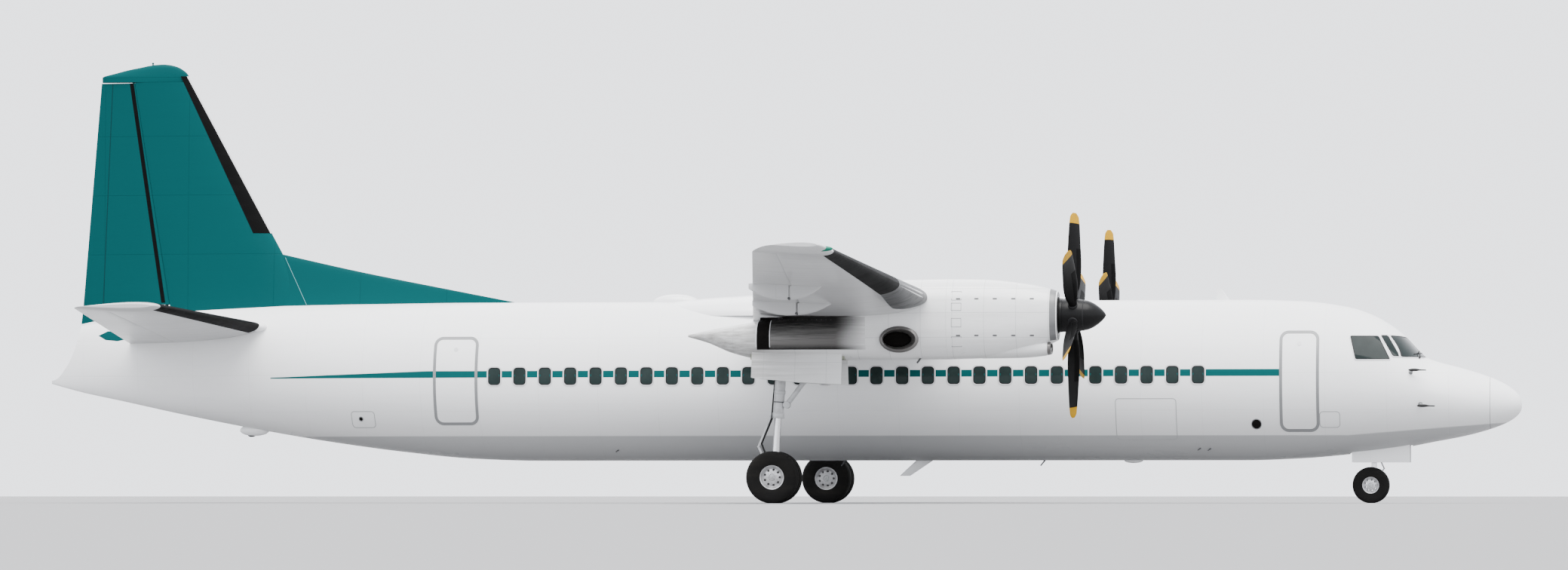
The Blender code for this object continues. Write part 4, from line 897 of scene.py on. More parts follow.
# the slot that each finish fills, where a piece doesn't name another
SLOT_OF = {paint.name: slot for slot, paints in (
    ("white_paint", (PAINT_FUSELAGE, PAINT_NACELLE, PAINT_WHITE, PAINT_TAIL, WINDOW_RIM, HATCH_GREY, LINING)),
    ("wing_paint", (PAINT_WING,)),
    ("teal_paint", (PAINT_TEAL, PALE_TEAL, SEAM_TEAL)),
    ("black_blade", (BLADE_BLACK,)),
    ("spinner_paint", (SPINNER_BLACK,)),
    ("gear_steel", (GEAR_PAINT, GLOVE_METAL, CHROME, LIP_METAL, DOOR_RIM, ENGINE_METAL)),
    ("sooty_steel", (SOOTY_STEEL, SOOT_AND_SHADE_BLACK)),
    ("tyre_rubber", (TYRE_RUBBER, BOOT_RUBBER, SEAL_RUBBER, HOSE_BLACK, STEP_TREAD)),
    ("wheel_alloy", (WHEEL_ALLOY,)),
    ("cockpit_glass", (COCKPIT_GLASS, WINDOW_GLASS, RED_LENS, GREEN_LENS, CLEAR_LENS)),
) for paint in paints}


# Fuselage pieces

BODY_POINTS = 96
CABIN_WINDOWS = [-4.63 + 0.4341 * i for i in range(23)] + [5.565 + 0.4288 * i for i in range(5)]
WINDOW_HALF = (0.105, 0.148)
WINDOW_MIDDLE = 1.422
STAIR_DOOR = (8.51, 9.27, 0.49, 2.27)
DOOR_GAP = 0.012
DOOR_STRETCH = (7.6, 10.2)
CABIN_RADIUS = 1.355
STEP_INSET = 0.05
DOOR_DEPTH = (0.6, 1.6)
PLUG_DOORS = (("service_door", STARBOARD, 8.65, 9.27, 0.49, 2.14),
              ("aft_door_left", PORT, -5.67, -4.94, 0.62, 2.08),
              ("aft_door_right", STARBOARD, -5.67, -4.94, 0.62, 2.08))
SIDE_PANE = ((9.79, 2.075), (10.265, 2.075), (10.47, 1.668), (9.885, 1.668))
WINDSCREEN = ((0.13, 2.06), (0.690, 2.085), (0.970, 1.71), (0.13, 1.715))
QUARTER_PANE = ((10.290, 2.085), (10.418, 2.085), (10.633, 1.718), (10.503, 1.718))


def within(stations, low, high):
    return [x for x in stations if low <= x <= high]


def body_stations():
    """Where the fine sections lie, closer together where the shape turns."""
    rows = spread(-12.625, -4.1, 44) + spread(-4.1, 8.0, 26)[1:] + spread(8.0, 11.8, 34)[1:]
    return rows + spread(11.8, RADOME_SEAM_X - 0.002, 5)[1:]


def make_fuselage():
    rows = body_stations()
    body = scratch(fuselage_form(rows, points=BODY_POINTS))
    tail = smooth_edge(TAIL_EDGE)
    tail_room = prism(tail + [(-13.1, 1.37), (-13.1, 2.60)], -1, 1)
    rear, front, half, top = NOSE_BAY
    nose_bay = scratch(box_form((rear, -half, 0.5), (front, half, top)))
    doorway = prism(rounded_outline(STAIR_DOOR[0] - DOOR_GAP, STAIR_DOOR[1] + DOOR_GAP, STAIR_DOOR[2]
                                    - DOOR_GAP, STAIR_DOOR[3] + DOOR_GAP, 0.10), *DOOR_DEPTH)
    carve(doorway, [scratch(fuselage_form(within(rows, *DOOR_STRETCH), -0.20))])
    carve(body, [tail_room, nose_bay, doorway])
    finish_piece(body, "fuselage_skin", PAINT_FUSELAGE,
                 stands_for=("fuselage", "service_door", "aft_door_left", "aft_door_right"))

    tip = (12.50, 12.54, 12.57, 12.592, 12.608, 12.618, 12.6235)
    piece("nose_radome", fuselage_form((*spread(RADOME_SEAM_X + 0.004, 12.45, 8), *tip), points=64),
          PAINT_FUSELAGE, slot="radome_paint", stands_for=("radome",))
    piece("radome_seal", fuselage_form((RADOME_SEAM_X - 0.004, RADOME_SEAM_X + 0.006), -0.003, 64),
          SEAL_RUBBER)


def smooth_edge(points, steps=8):
    """A smooth line through points, by a Catmull-Rom curve."""
    found = []
    for i in range(len(points) - 1):
        p0, p1, p2 = points[max(0, i - 1)], points[i], points[i + 1]
        p3 = points[min(len(points) - 1, i + 2)]
        for k in range(steps):
            t = k / steps
            found.append(tuple(0.5
                               * (2 * b + (c - a) * t + (2 * a - 5 * b + 4 * c - d) * t * t
                                  + (3 * b - a - 3 * c + d) * t ** 3) for a, b, c, d in zip(p0, p1, p2, p3)))
    return found + [points[-1]]


def make_cabin_windows():
    """Two rows of windows, each a chamfered pane in a pale rim with a dark seal."""
    for word, side in SIDES:
        rims, panes, seals = [], [], []
        for x in CABIN_WINDOWS:
            if side == PORT and STAIR_DOOR[0] - 0.3 < x < STAIR_DOOR[1]:
                continue
            wide, high = WINDOW_HALF
            outline = rounded_outline(
                x - wide, x + wide, WINDOW_MIDDLE - high, WINDOW_MIDDLE + high, 0.062, 4)
            rims.append(skin_frame(outline, side, -0.002, 0.024, 0.005))
            seals.append(skin_frame(outline, side, 0.016, 0.004, 0.003))
            panes.append(skin_patch(grown(outline, -0.008), side, 0.0015, 0.01, 2))
        piece(f"cabin_window_rims_{word}", rims, WINDOW_RIM)
        piece(f"cabin_window_seals_{word}", seals, SEAL_RUBBER)
        piece(f"cabin_panes_{word}", panes, WINDOW_GLASS)


def make_doors():
    """The plug doors: a panel that follows the skin, its rim, and a small round sight glass."""
    for name, side, rear_x, front_x, sill, head in PLUG_DOORS:
        outline = dense(rounded_outline(rear_x + 0.02, front_x - 0.02, sill + 0.02, head - 0.02, 0.11), 0.08)
        piece(f"{name}_panel", skin_patch(outline, side, 0.0025, 0.012, 6), PAINT_FUSELAGE)
        piece(f"{name}_rim", skin_frame(outline, side, 0.010, 0.040, 0.006), DOOR_RIM)
        middle = (rear_x + front_x) / 2
        port = circle(middle, head - 0.20, 0.035, 24)
        piece(f"{name}_sight_glass", skin_patch(port, side, 0.0045, 0.012, 3), WINDOW_RIM)


def make_stair_door():
    """The passenger door: a fine panel with its rim, the steps with their treads, and the hinge."""
    rear_x, front_x, sill, head = STAIR_DOOR
    rows = spread(*DOOR_STRETCH, 30)
    outline = rounded_outline(rear_x, front_x, sill, head, 0.10)
    panel = prism(outline, *DOOR_DEPTH)
    carve(panel, [scratch(fuselage_form(rows))], "INTERSECT")
    carve(panel, [scratch(fuselage_form(rows, -0.07))])
    finish_piece(panel, "passenger_door_panel", PAINT_FUSELAGE, body="passenger_door",
                 stands_for=("passenger_door",))
    rim = dense(grown(outline, -0.02), 0.08)
    piece("passenger_door_rim", skin_frame(rim, PORT, 0.012, 0.012, 0.005), DOOR_RIM, body="passenger_door")
    treads, steps = [], []
    inset = 0.08
    for i in range(6):
        height = sill + (head - sill) * (i + 0.8) / 6.6
        reach = math.sqrt((CABIN_RADIUS - STEP_INSET) ** 2 - (height - CABIN_RADIUS) ** 2)
        low = (rear_x + inset, reach - 0.115, up(height) - 0.015)
        high = (front_x - inset, reach - 0.02, up(height) + 0.015)
        steps.append(box_form(low, high, 0.004))
        treads.append(box_form((low[0] + 0.02, low[1] + 0.004, high[2] - 0.001),
                               (high[0] - 0.02, high[1] - 0.012, high[2] + 0.003), 0.001, 1))
    piece("stair_steps", steps, LINING, body="passenger_door")
    piece("stair_treads", treads, STEP_TREAD, body="passenger_door")
    hinge_y = math.sqrt(CABIN_RADIUS ** 2 - (CABIN_RADIUS - sill) ** 2) + 0.024
    hinge = Vector(((rear_x + front_x) / 2, hinge_y, up(sill)))
    half = (front_x - rear_x) / 2 - 0.06
    barrel = rod_form(hinge - Vector((half, 0, 0)), hinge + Vector((half, 0, 0)), 0.021, facets=24,
                      bevel=0.003)
    strap = box_form((hinge.x - half, hinge.y - 0.07, hinge.z + 0.002),
                     (hinge.x + half, hinge.y, hinge.z + 0.022), 0.003)
    piece("stair_hinge_barrel", [barrel, strap], GEAR_PAINT, body="passenger_door")
    lugs = []
    for end in (-1, 1):
        a = hinge + Vector((end * (half + 0.002), 0, 0))
        b = hinge + Vector((end * (half + 0.05), 0, 0))
        lugs.append(rod_form(a, b, 0.022, facets=24, bevel=0.003))
        low_x, high_x = sorted((a.x, b.x))
        lugs.append(box_form((low_x, hinge.y - 0.12, hinge.z - 0.058),
                             (high_x, hinge.y - 0.004, hinge.z - 0.004), 0.004))
    piece("stair_hinge_lugs", lugs, GEAR_PAINT)


def on_nose(across, height, side, lift=0.0):
    """A point of the skin in front of the cockpit, by its distance from the middle plane and its height."""
    near_x, far_x = 10.0, 11.6
    for _ in range(30):
        x = (near_x + far_x) / 2
        top, _, half, widest = fuselage_at(x)
        skin = widest + (top - widest) * math.sqrt(max(0.0, 1 - (across / half) ** 2))
        near_x, far_x = (x, far_x) if skin > height else (near_x, x)
    turn = math.acos(min(1.0, across / fuselage_at(x)[2]))
    return fuselage_point(x, turn if side > 0 else math.pi - turn, lift)


def make_cockpit():
    """Side, quarter and front panes with their frames, and wipers on the front panes."""
    for word, side in SIDES:
        for label, outline in (("side", SIDE_PANE), ("quarter", QUARTER_PANE)):
            stands_for = ("cockpit_glazing",) if (label, side) == ("side", PORT) else ()
            make_pane(f"cockpit_{label}", word, side, soften(dense(outline, 0.5), 0.035), 8, on_fuselage,
                      stands_for)
        make_pane("windscreen", word, side, soften(WINDSCREEN, 0.04), 10, on_nose)
        make_wiper(word, side)


def make_pane(name, word, side, outline, layers, put, stands_for=()):
    """A pane of glass with its frame and seal."""
    fine = dense(outline, 0.05)
    piece(f"{name}_pane_{word}", skin_patch(grown(fine, -0.006), side, 0.005, 0.024, layers, put),
          COCKPIT_GLASS, stands_for=stands_for)
    piece(f"{name}_frame_{word}", skin_frame(fine, side, 0.004, 0.012, 0.009, 0.01, put), WINDOW_RIM)
    piece(f"{name}_seal_{word}", skin_frame(grown(fine, -0.010), side, 0.008, 0.003, 0.007, 0.01, put),
          SEAL_RUBBER)


def make_wiper(word, side):
    """A wiper parked along the lower edge of the front pane."""
    pivot = on_nose(0.62, 1.70, side, 0.0)
    stem = on_nose(0.62, 1.70, side, 0.035)
    elbow = on_nose(0.42, 1.80, side, 0.035)
    low = on_nose(0.66, 1.765, side, 0.016)
    high = on_nose(0.16, 1.79, side, 0.016)
    blade = [on_nose(0.16 + 0.50 * i / 8, 1.79 - 0.025 * i / 8, side, 0.012) for i in range(9)]
    rods = [rod_form(a, b, 0.006, facets=8) for a, b in zip(blade, blade[1:])]
    rods += [rod_form(pivot, stem, 0.016, 0.012, facets=12), rod_form(stem, elbow, 0.009, 0.006, facets=10),
             rod_form(elbow, (low + high) / 2, 0.006, facets=8)]
    piece(f"wiper_{word}", rods, HOSE_BLACK)


def soften(outline, radius, steps=4):
    """A polygon with its corners rounded off."""
    points = []
    count = len(outline)
    for i, (x, z) in enumerate(outline):
        before, after = Vector(outline[i - 1]), Vector(outline[(i + 1) % count])
        corner = Vector((x, z))
        a = corner + (before - corner).normalized() * min(radius, (before - corner).length * 0.4)
        b = corner + (after - corner).normalized() * min(radius, (after - corner).length * 0.4)
        for k in range(steps + 1):
            t = k / steps
            p = a * (1 - t) ** 2 + corner * 2 * t * (1 - t) + b * t * t
            points.append((p.x, p.y))
    return points


# Small fittings of the fuselage

def fin_blade(foot_low, foot_high, tip_low, tip_high, half, points=16):
    """A swept aerial of lens section, from its foot to its tip, each given by its two ends."""
    rings = []
    for (rear, front), size in (((foot_low, foot_high), 1.0), ((tip_low, tip_high), 0.6)):
        rear, front = Vector(rear), Vector(front)
        ring = []
        for turn in turns(points):
            middle = (rear + front) / 2 + (front - rear) / 2 * math.cos(turn)
            ring.append(middle + Vector((0, half * size * math.sin(turn), 0)))
        rings.append(ring)
    return loft(rings)


def standing_on(x, height, side):
    """A point of the fuselage's skin and the direction straight out from it."""
    foot = on_fuselage(x, height, side)
    return foot, (on_fuselage(x, height, side, 1.0) - foot).normalized()


def make_fittings():
    """Aerials, domes, the tail bumper, probes, outlets, hatch outlines and drains on the fuselage."""
    top = up(2.70)
    piece("top_aerial", fin_blade((7.51, 0, top - 0.02), (7.75, 0, top - 0.02), (7.49, 0, up(2.90)),
                                  (7.59, 0, up(2.90)), 0.014), PAINT_WHITE)
    piece("belly_aerial", fin_blade((2.42, 0, up(0.02)), (2.72, 0, up(0.02)), (2.12, 0, up(-0.26)),
                                    (2.30, 0, up(-0.26)), 0.016), PAINT_WHITE)
    piece("top_dome", sphere_form((-1.72, 0, up(2.70)), (0.40, 0.16, 0.14), 32), PAINT_WHITE)
    piece("forward_belly_dome", sphere_form((6.1, 0, up(0.0)), (0.16, 0.07, 0.045), 24), PAINT_WHITE)
    bump = on_fuselage(-9.05, 0.555, STARBOARD)
    piece("tail_bumper", sphere_form((bump.x, 0, up(0.53)), (0.26, 0.13, 0.10), 28), PAINT_WHITE)
    piece("tail_bumper_shoe", sphere_form((bump.x - 0.05, 0, up(0.44)), (0.07, 0.04, 0.025), 20), HOSE_BLACK)

    probes, stems = [], []
    for side in (PORT, STARBOARD):
        for x, height in ((10.80, 1.455), (10.96, 0.93)):
            foot, out = standing_on(x, height, side)
            head = foot + out * 0.10
            stems.append(rod_form(foot - out * 0.01, foot + out * 0.012, 0.040, 0.034, facets=24))
            stems.append(rod_form(foot, head, 0.026, 0.016, facets=14))
            probes.append(sphere_form(head + Vector((0.02, 0, 0)), (0.10, 0.020, 0.024), 20))
            probes.append(rod_form(head + Vector((0.05, 0, 0)), head + Vector((0.22, 0, -0.004)), 0.013,
                                   0.009, facets=16))
    piece("air_probe_stems", stems, DOOR_RIM)
    piece("air_probes", probes, HOSE_BLACK, slot="gear_steel")

    outlets, dark = [], []
    for x, height, radius in ((8.24, 0.60, 0.075), (-7.0, 0.71, 0.028)):
        outline = circle(x, height, radius, 28)
        outlets.append(skin_frame(outline, STARBOARD, 0.0, 0.014, 0.005))
        # a black disc inside each rim is painted shade in the outlet's opening
        dark.append(skin_patch(outline, STARBOARD, 0.002, 0.01, 2))
    piece("round_outlet_rims", outlets, DOOR_RIM)
    piece("round_outlet_shade", dark, SOOT_AND_SHADE_BLACK, slot="black_blade")

    hatches = []
    for side, box in ((STARBOARD, (-7.16, -6.76, 0.57, 0.83)), (STARBOARD, (5.9, 6.9, 0.35, 1.02)),
                      (PORT, (5.9, 7.1, 0.35, 1.10)), (PORT, (-4.0, -3.3, 0.30, 0.62)),
                      (STARBOARD, (9.3, 9.62, 0.55, 0.80)), (PORT, (9.6, 9.95, 0.52, 0.80))):
        hatches.append(skin_frame(dense(rounded_outline(*box, 0.05), 0.1), side, 0.0, 0.012, 0.0022))
    piece("hatch_outlines", hatches, HATCH_GREY)

    vents = []
    for x, height in ((-2.6, 0.18), (7.28, 0.20), (7.45, 0.195)):
        foot, out = standing_on(x, height, STARBOARD)
        vents.append(rod_form(foot, foot + out * 0.04 + Vector((-0.05, 0, 0)), 0.012, 0.008, facets=12))
    for x in (1.2, 4.6):
        vents.append(rod_form((x, 0, up(0.01)), (x - 0.08, 0, up(-0.09)), 0.014, 0.01, facets=12))
    piece("drain_stubs", vents, GLOVE_METAL)


def make_nose_bay():
    """The frames of the nose wheel bay."""
    rear, front, half, top = NOSE_BAY
    low_z = 0.93
    frames = []
    for i in range(6):
        x = rear + 0.1 + (front - rear - 0.2) * i / 5
        frames.append(box_form((x - 0.012, -half + 0.001, top - 0.05), (x + 0.012, half - 0.001, top - 0.001),
                               0.002, 1))
        for side in (PORT, STARBOARD):
            low_y, high_y = sorted((side * (half - 0.03), side * (half - 0.001)))
            frames.append(
                box_form((x - 0.012, low_y, low_z + 0.16), (x + 0.012, high_y, top - 0.05), 0.002, 1))
    piece("nose_bay_frames", frames, BAY_PRIMER, slot="gear_steel")


# Wing, fin and tail

CHORD_STEPS = [0.0, 0.002, 0.006, 0.014, 0.026, 0.045, 0.07, 0.10, 0.14, 0.20, 0.27, 0.35, 0.44, 0.54, 0.63,
               0.72, 0.80, 0.87, 0.94, 1.0]


UPWARD = Vector((0, 0, 1))
SIDEWAYS = Vector((0, 1, 0))


def half_thickness(x, thickness):
    """Half the depth of a section at a share x of its chord."""
    return 5 * thickness * (0.2969 * math.sqrt(x) - 0.126 * x - 0.3516 * x * x + 0.2843 * x ** 3 - 0.1036
                            * x ** 4) + 0.002 * x


def panel_ring(nose, tail, across, thickness, camber, start=0.0, end=1.0, cove=0.0, round_nose=False):
    """One fine section of a wing, fin or tail panel between two shares of the chord."""
    chord_line = tail - nose
    chord = chord_line.length
    back = chord_line.normalized()

    def bow(x):
        return 4 * camber * x * (1 - x) * chord

    def skin(x, face):
        return nose + chord_line * x + across * (face * half_thickness(x, thickness) * chord + bow(x))

    def arc(x, radius, angles):
        middle = nose + chord_line * x + across * bow(x)
        return [middle + back * (radius * math.cos(a)) + across * (radius * math.sin(a)) for a in angles]

    inner = [x for x in CHORD_STEPS if start + 0.01 < x < end - 0.01 or (start == 0.0 and 0 < x < 0.02)]
    points = []
    if end < 1.0 and cove:
        radius = half_thickness(end, thickness) * chord + cove
        inner = [x for x in inner if x < end - radius * 0.5 / chord - 0.01]
        points += arc(end, radius, [math.radians(120 + 10 * i) for i in range(13)])
    else:
        points += [skin(end, 1), skin(end, -1)]
    points += [skin(x, -1) for x in reversed(inner)]
    if start == 0.0:
        points.append(nose)
    elif round_nose:
        radius = half_thickness(start, thickness) * chord
        points += arc(start, radius, [math.radians(270 - 15 * i) for i in range(13)])
    points += [skin(x, 1) for x in inner]
    return points


def wing_chord(y):
    bend = max(0.0, y - WING_BEND_Y)
    nose = Vector((WING_ROOT_NOSE[0] + WING_SWEEP[0] * y, y, up(WING_ROOT_NOSE[1] + WING_RISE[0] * bend)))
    tail = Vector((WING_ROOT_TAIL[0] + WING_SWEEP[1] * y, y, up(WING_ROOT_TAIL[1] + WING_RISE[1] * bend)))
    return nose, tail


def wing_thickness(y):
    return WING_THICKNESS[0] + (WING_THICKNESS[1] - WING_THICKNESS[0]) * y / HALF_SPAN


def wing_ring(y, **form):
    return panel_ring(*wing_chord(y), UPWARD, wing_thickness(y), WING_CAMBER, **form)


def wing_hinge(y):
    nose, tail = wing_chord(y)
    bow = 4 * WING_CAMBER * WING_HINGE * (1 - WING_HINGE) * (tail - nose).length
    return nose + (tail - nose) * WING_HINGE + Vector((0, 0, bow))


def wing_nose_radius(y):
    nose, tail = wing_chord(y)
    return half_thickness(WING_HINGE, wing_thickness(y)) * (tail - nose).length


def tip_ring(ring, long, high, lift=0.0):
    """A section drawn in towards its own middle, in length and in height."""
    middle = sum((Vector(p) for p in ring), Vector()) / len(ring)
    return [(middle.x + (p[0] - middle.x) * long, p[1], middle.z + (p[2] - middle.z) * high + lift)
            for p in ring]


def sided(rings, side):
    return [[(x, side * y, z) for x, y, z in ring] for ring in rings]


def bay_form(walls, side, hinge, radius, tail):
    """What is cut away for a flap, aileron or elevator."""
    rings = []
    for y in walls:
        middle = hinge(y)
        back = (tail(y) - middle).normalized()
        reach = radius(y) + SWING
        arc = [middle + back * (reach * math.cos(a)) + Vector((0, 0, reach * math.sin(a)))
               for a in (math.radians(110 + 10 * i) for i in range(15))]
        high = Vector((0, 0, 0.4))
        far = tail(y) + back * 0.5
        rings.append([arc[0] + high, *arc, arc[-1] - high, far - high, far + high])
    return scratch(loft(sided(rings, side)))


def wing_bay(span, side, gap):
    walls = (span[0] - gap, span[1] + gap)
    return bay_form(walls, side, wing_hinge, wing_nose_radius, lambda y: wing_chord(y)[1])


def fairing_form(y, half, inner, tip, bottom_z):
    """A pointed flap track fairing with a rounded underside."""
    rings = []
    for part, size in ((0.0, 1.0), (0.2, 0.98), (0.45, 0.9), (0.65, 0.76), (0.8, 0.55), (0.92, 0.32),
                       (1.0, 0.10)):
        x = inner[0] + (tip[0] - inner[0]) * part
        top = inner[1] + (tip[1] - inner[1]) * part
        low = top - (inner[1] - bottom_z) * (1 - 0.75 * part ** 2)
        ring = [(x, y - half * size, top)]
        for i in range(13):
            turn = math.pi * i / 12
            ring.append((x, y - half * size * math.cos(turn), low + 0.06 * size * (1 - math.sin(turn))))
        rings.append([*ring, (x, y + half * size, top)])
    return loft(rings)


FLAP_FAIRINGS = ((6.20, 1.84, 0.44, 0.075), (9.05, 1.97, 0.77, 0.065))
GLOVE_END_Y = 7.28
OUTER_DROP = 0.30
INNER_DROP = 0.36
INNER_BRACKET = (2.20, 0.40, 0.05)
HINGE_RADIUS = 0.022


def flap_pivot(y, drop):
    return wing_hinge(y) - Vector((0, 0, drop))


def barrel(line, span, side, radius, facets=24):
    """A round bar between upright ends, along a line given by its point at a y."""
    rings = []
    for y in span:
        middle = line(y)
        rings.append([(x, side * y, z) for x, z in circle(middle.x, middle.z, radius, facets)])
    return loft(rings)


def pivot_barrel(station, half, drop, side):
    return barrel(lambda y: flap_pivot(y, drop), (station - half, station + half), side, HINGE_RADIUS)


def fixed_fairing(station, front_x, half, drop, side):
    """The half of a fairing that stays on the wing, cut clear of the flap's nose."""
    pivot = flap_pivot(station, drop)
    nose, tail = wing_chord(station)
    tip_z = nose.z + (tail.z - nose.z) * (nose.x - front_x) / (nose.x - tail.x)
    face_x = flap_pivot(station + half, drop).x + HINGE_RADIUS + 0.002
    form = scratch(fairing_form(side * station, half, (face_x, wing_hinge(station).z), (front_x, tip_z),
                                pivot.z - HINGE_RADIUS))
    nose_room = barrel(wing_hinge, (station - half - 0.02, station + half + 0.02), side,
                       wing_nose_radius(station) + SWING, 40)
    return carve(form, [scratch(nose_room)])


def make_wing():
    for word, side in SIDES:
        centre = scratch(loft(sided([wing_ring(y) for y in (0.0, 0.9, 1.8, 2.7, WING_BEND_Y - 0.001)], side)))
        carve(centre, [wing_bay(INNER_FLAP_SPAN, side, FLAP_GAP)])
        station, reach, half = INNER_BRACKET
        bracket = fixed_fairing(
            station, flap_pivot(station, INNER_DROP).x + reach * 1.6, half, INNER_DROP, side)
        finish_piece(bracket, f"inner_flap_bracket_{word}", PAINT_WING)
        finish_piece(centre, f"wing_root_{word}", PAINT_WING, stands_for=("wing_center",) if side > 0 else ())

        rings = [wing_ring(y) for y in spread(WING_BEND_Y, WING_TIP_START, 9)]
        for y, shrink, lift in ((14.12, 0.975, 0.004), (14.25, 0.93, 0.01), (14.34, 0.87, 0.02),
                                (14.42, 0.80, 0.03), (14.47, 0.71, 0.039), (14.498, 0.60, 0.045)):
            rings.append(tip_ring(wing_ring(y), shrink, shrink ** 2, lift))
        wing = scratch(loft(sided(rings, side)))
        carve(wing, [wing_bay(OUTER_FLAP_SPAN, side, FLAP_GAP), wing_bay(AILERON_SPAN, side, RIB_GAP)])
        finish_piece(wing, f"wing_panel_{word}", PAINT_WING, stands_for=(f"wing_outer_{word}",))
        for i, (station, front_x, _, half) in enumerate(FLAP_FAIRINGS):
            finish_piece(fixed_fairing(station, front_x, half, OUTER_DROP, side),
                         f"flap_fairing_front_{i}_{word}", PAINT_WING)
        make_moving_surfaces(word, side)
        make_boots(word, side)

    rows = []
    for x, top, half in ((-1.9, 2.70, 0.5), (-1.45, 2.745, 0.66), (-1.0, 2.78, 0.8), (-0.2, 2.83, 0.91),
                         (0.6, 2.86, 0.95), (1.9, 2.865, 0.955), (3.2, 2.86, 0.95), (3.7, 2.82, 0.87),
                         (4.0, 2.76, 0.75), (4.4, 2.72, 0.56), (4.7, 2.69, 0.4)):
        rows.append([(x, half * math.cos(t), up(2.45 + (top - 2.45) * math.sin(t)))
                     for t in (math.pi * i / 28 for i in range(29))])
    piece("wing_root_fairing", loft(rows), PAINT_WHITE)


def surface_rings(span, count):
    return [wing_ring(y, start=WING_HINGE, round_nose=True) for y in spread(*span, count)]


def pin_forms(line, span, side, reach, radius=0.018):
    axis = (line(span[1]) - line(span[0])).normalized()
    short = (0.0006 + radius * math.sqrt(1 - axis.y ** 2)) / axis.y
    ends = (line(span[0] - reach) + axis * short, line(span[0] + 0.02), line(span[1] - 0.02),
            line(span[1] + reach) - axis * short)
    a, b, c, d = (Vector((p.x, side * p.y, p.z)) for p in ends)
    return [rod_form(a, b, radius, facets=20), rod_form(c, d, radius, facets=20)]


def make_moving_surfaces(word, side):
    """The aileron and the two flaps with their half fairings."""
    def skin(name, span, count=5):
        piece(f"{name}_skin_{word}", loft(sided(surface_rings(span, count), side)), PAINT_WING,
              body=f"{name}_{word}", stands_for=(f"{name}_{word}",))

    skin("aileron", AILERON_SPAN)
    piece(f"aileron_pins_{word}", pin_forms(wing_hinge, AILERON_SPAN, side, RIB_GAP), GLOVE_METAL,
          body=f"aileron_{word}")
    skin("flap_outboard", OUTER_FLAP_SPAN)
    halves, barrels = [], []
    for station, _, rear_x, half in FLAP_FAIRINGS:
        pivot = flap_pivot(station, OUTER_DROP)
        halves.append(fairing_form(side * station, half, (pivot.x, wing_hinge(station).z),
                                   (rear_x, wing_chord(station)[1].z), pivot.z - HINGE_RADIUS))
        barrels.append(pivot_barrel(station, half, OUTER_DROP, side))
    piece(f"flap_fairing_rear_{word}", halves, PAINT_WING, body=f"flap_outboard_{word}")
    piece(f"flap_pivots_{word}", barrels, GLOVE_METAL, body=f"flap_outboard_{word}")

    station, reach, half = INNER_BRACKET
    pivot = flap_pivot(station, INNER_DROP)
    skin("flap_inboard", INNER_FLAP_SPAN, 3)
    root = wing_hinge(station)
    bracket = fairing_form(side * station, half, (pivot.x, root.z), (pivot.x - reach, root.z - 0.05),
                           pivot.z - HINGE_RADIUS)
    piece(f"flap_inboard_bracket_{word}", bracket, PAINT_WING, body=f"flap_inboard_{word}")
    piece(f"flap_inboard_pivot_{word}", pivot_barrel(station, half, INNER_DROP, side), GLOVE_METAL,
          body=f"flap_inboard_{word}")


def edge_points(nose, tail, across, thickness, camber, share, lift):
    """Points round a leading edge from one face to the other, each back by a share of the chord."""
    chord_line = tail - nose
    chord = chord_line.length
    steps = [share * (i / 7) ** 1.7 for i in range(8)]
    points = []
    for x, face in [(s, -1) for s in reversed(steps)] + [(s, 1) for s in steps[1:]]:
        edge = max(0.0, 1 - x / 0.02)
        half = half_thickness(x, thickness) * chord + lift * (1 - edge ** 2)
        bow = 4 * camber * x * (1 - x) * chord
        points.append(nose + chord_line * x - chord_line.normalized() * (lift * edge) + across
                      * (face * half + bow))
    return points


def edge_strip(points_at, stations, lift, side=1):
    """A thin cover wrapped round a leading edge. points_at gives a row of points for a station and a lift."""
    rows = []
    for station in stations:
        outer = points_at(station, lift)
        inner = points_at(station, -0.004)[::-1]
        rows.append([(p[0], side * p[1], p[2]) for p in outer + inner])
    return loft(rows)


def make_boots(word, side):
    """Black rubber along the leading edges, and a bare metal glove beside the nacelle."""
    def cover(share_at):
        return lambda y, lift: edge_points(*wing_chord(y), UPWARD, wing_thickness(y), WING_CAMBER,
                                           share_at(y)[0], lift)

    boot_share = smooth_table(((GLOVE_END_Y, 0.13), (13.95, 0.125)))
    glove_share = smooth_table(((4.20, 0.012), (4.35, 0.05), (4.60, 0.12), (5.00, 0.165),
                                (GLOVE_END_Y, 0.13)))
    piece(f"wing_boot_{word}", edge_strip(cover(boot_share), spread(GLOVE_END_Y + 0.01, 13.95, 12), 0.004,
                                          side), BOOT_RUBBER)
    stations = (4.20, 4.24, 4.29, 4.35, 4.45, 4.55, 4.65, 4.8, 5.0, 5.5, 6.1, 6.7, GLOVE_END_Y)
    piece(f"wing_glove_{word}", edge_strip(cover(glove_share), stations, 0.003, side), GLOVE_METAL)
    nose, _ = wing_chord(14.25)
    lens = RED_LENS if side == PORT else GREEN_LENS
    piece(f"navigation_lamp_{word}",
          sphere_form((nose.x - 0.13, side * 14.28, nose.z + 0.015), (0.17, 0.06, 0.042), 28), lens)


def on_line(line, height):
    """The x of a line of (height, x) points at a height, going on straight past its ends."""
    low, high = line[0], line[1]
    for a, b in zip(line, line[1:]):
        low, high = a, b
        if height <= b[0]:
            break
    part = (height - low[0]) / (high[0] - low[0])
    return low[1] + (high[1] - low[1]) * part


def fin_chord(height):
    return [Vector((on_line(line, height), 0, up(height))) for line in (FIN_NOSE, RUDDER_TAIL)]


def fin_ring(height, **form):
    return panel_ring(*fin_chord(height), SIDEWAYS, TAIL_THICKNESS, 0.0, **form)


def fin_cover(width_at):
    """The rows of a cover on the fin's leading edge, as wide down each face as width_at says at a height."""
    def row(height, lift):
        nose, tail = fin_chord(height)
        share = width_at(height) / (nose - tail).length
        return edge_points(nose, tail, SIDEWAYS, TAIL_THICKNESS, 0.0, share, lift)
    return row


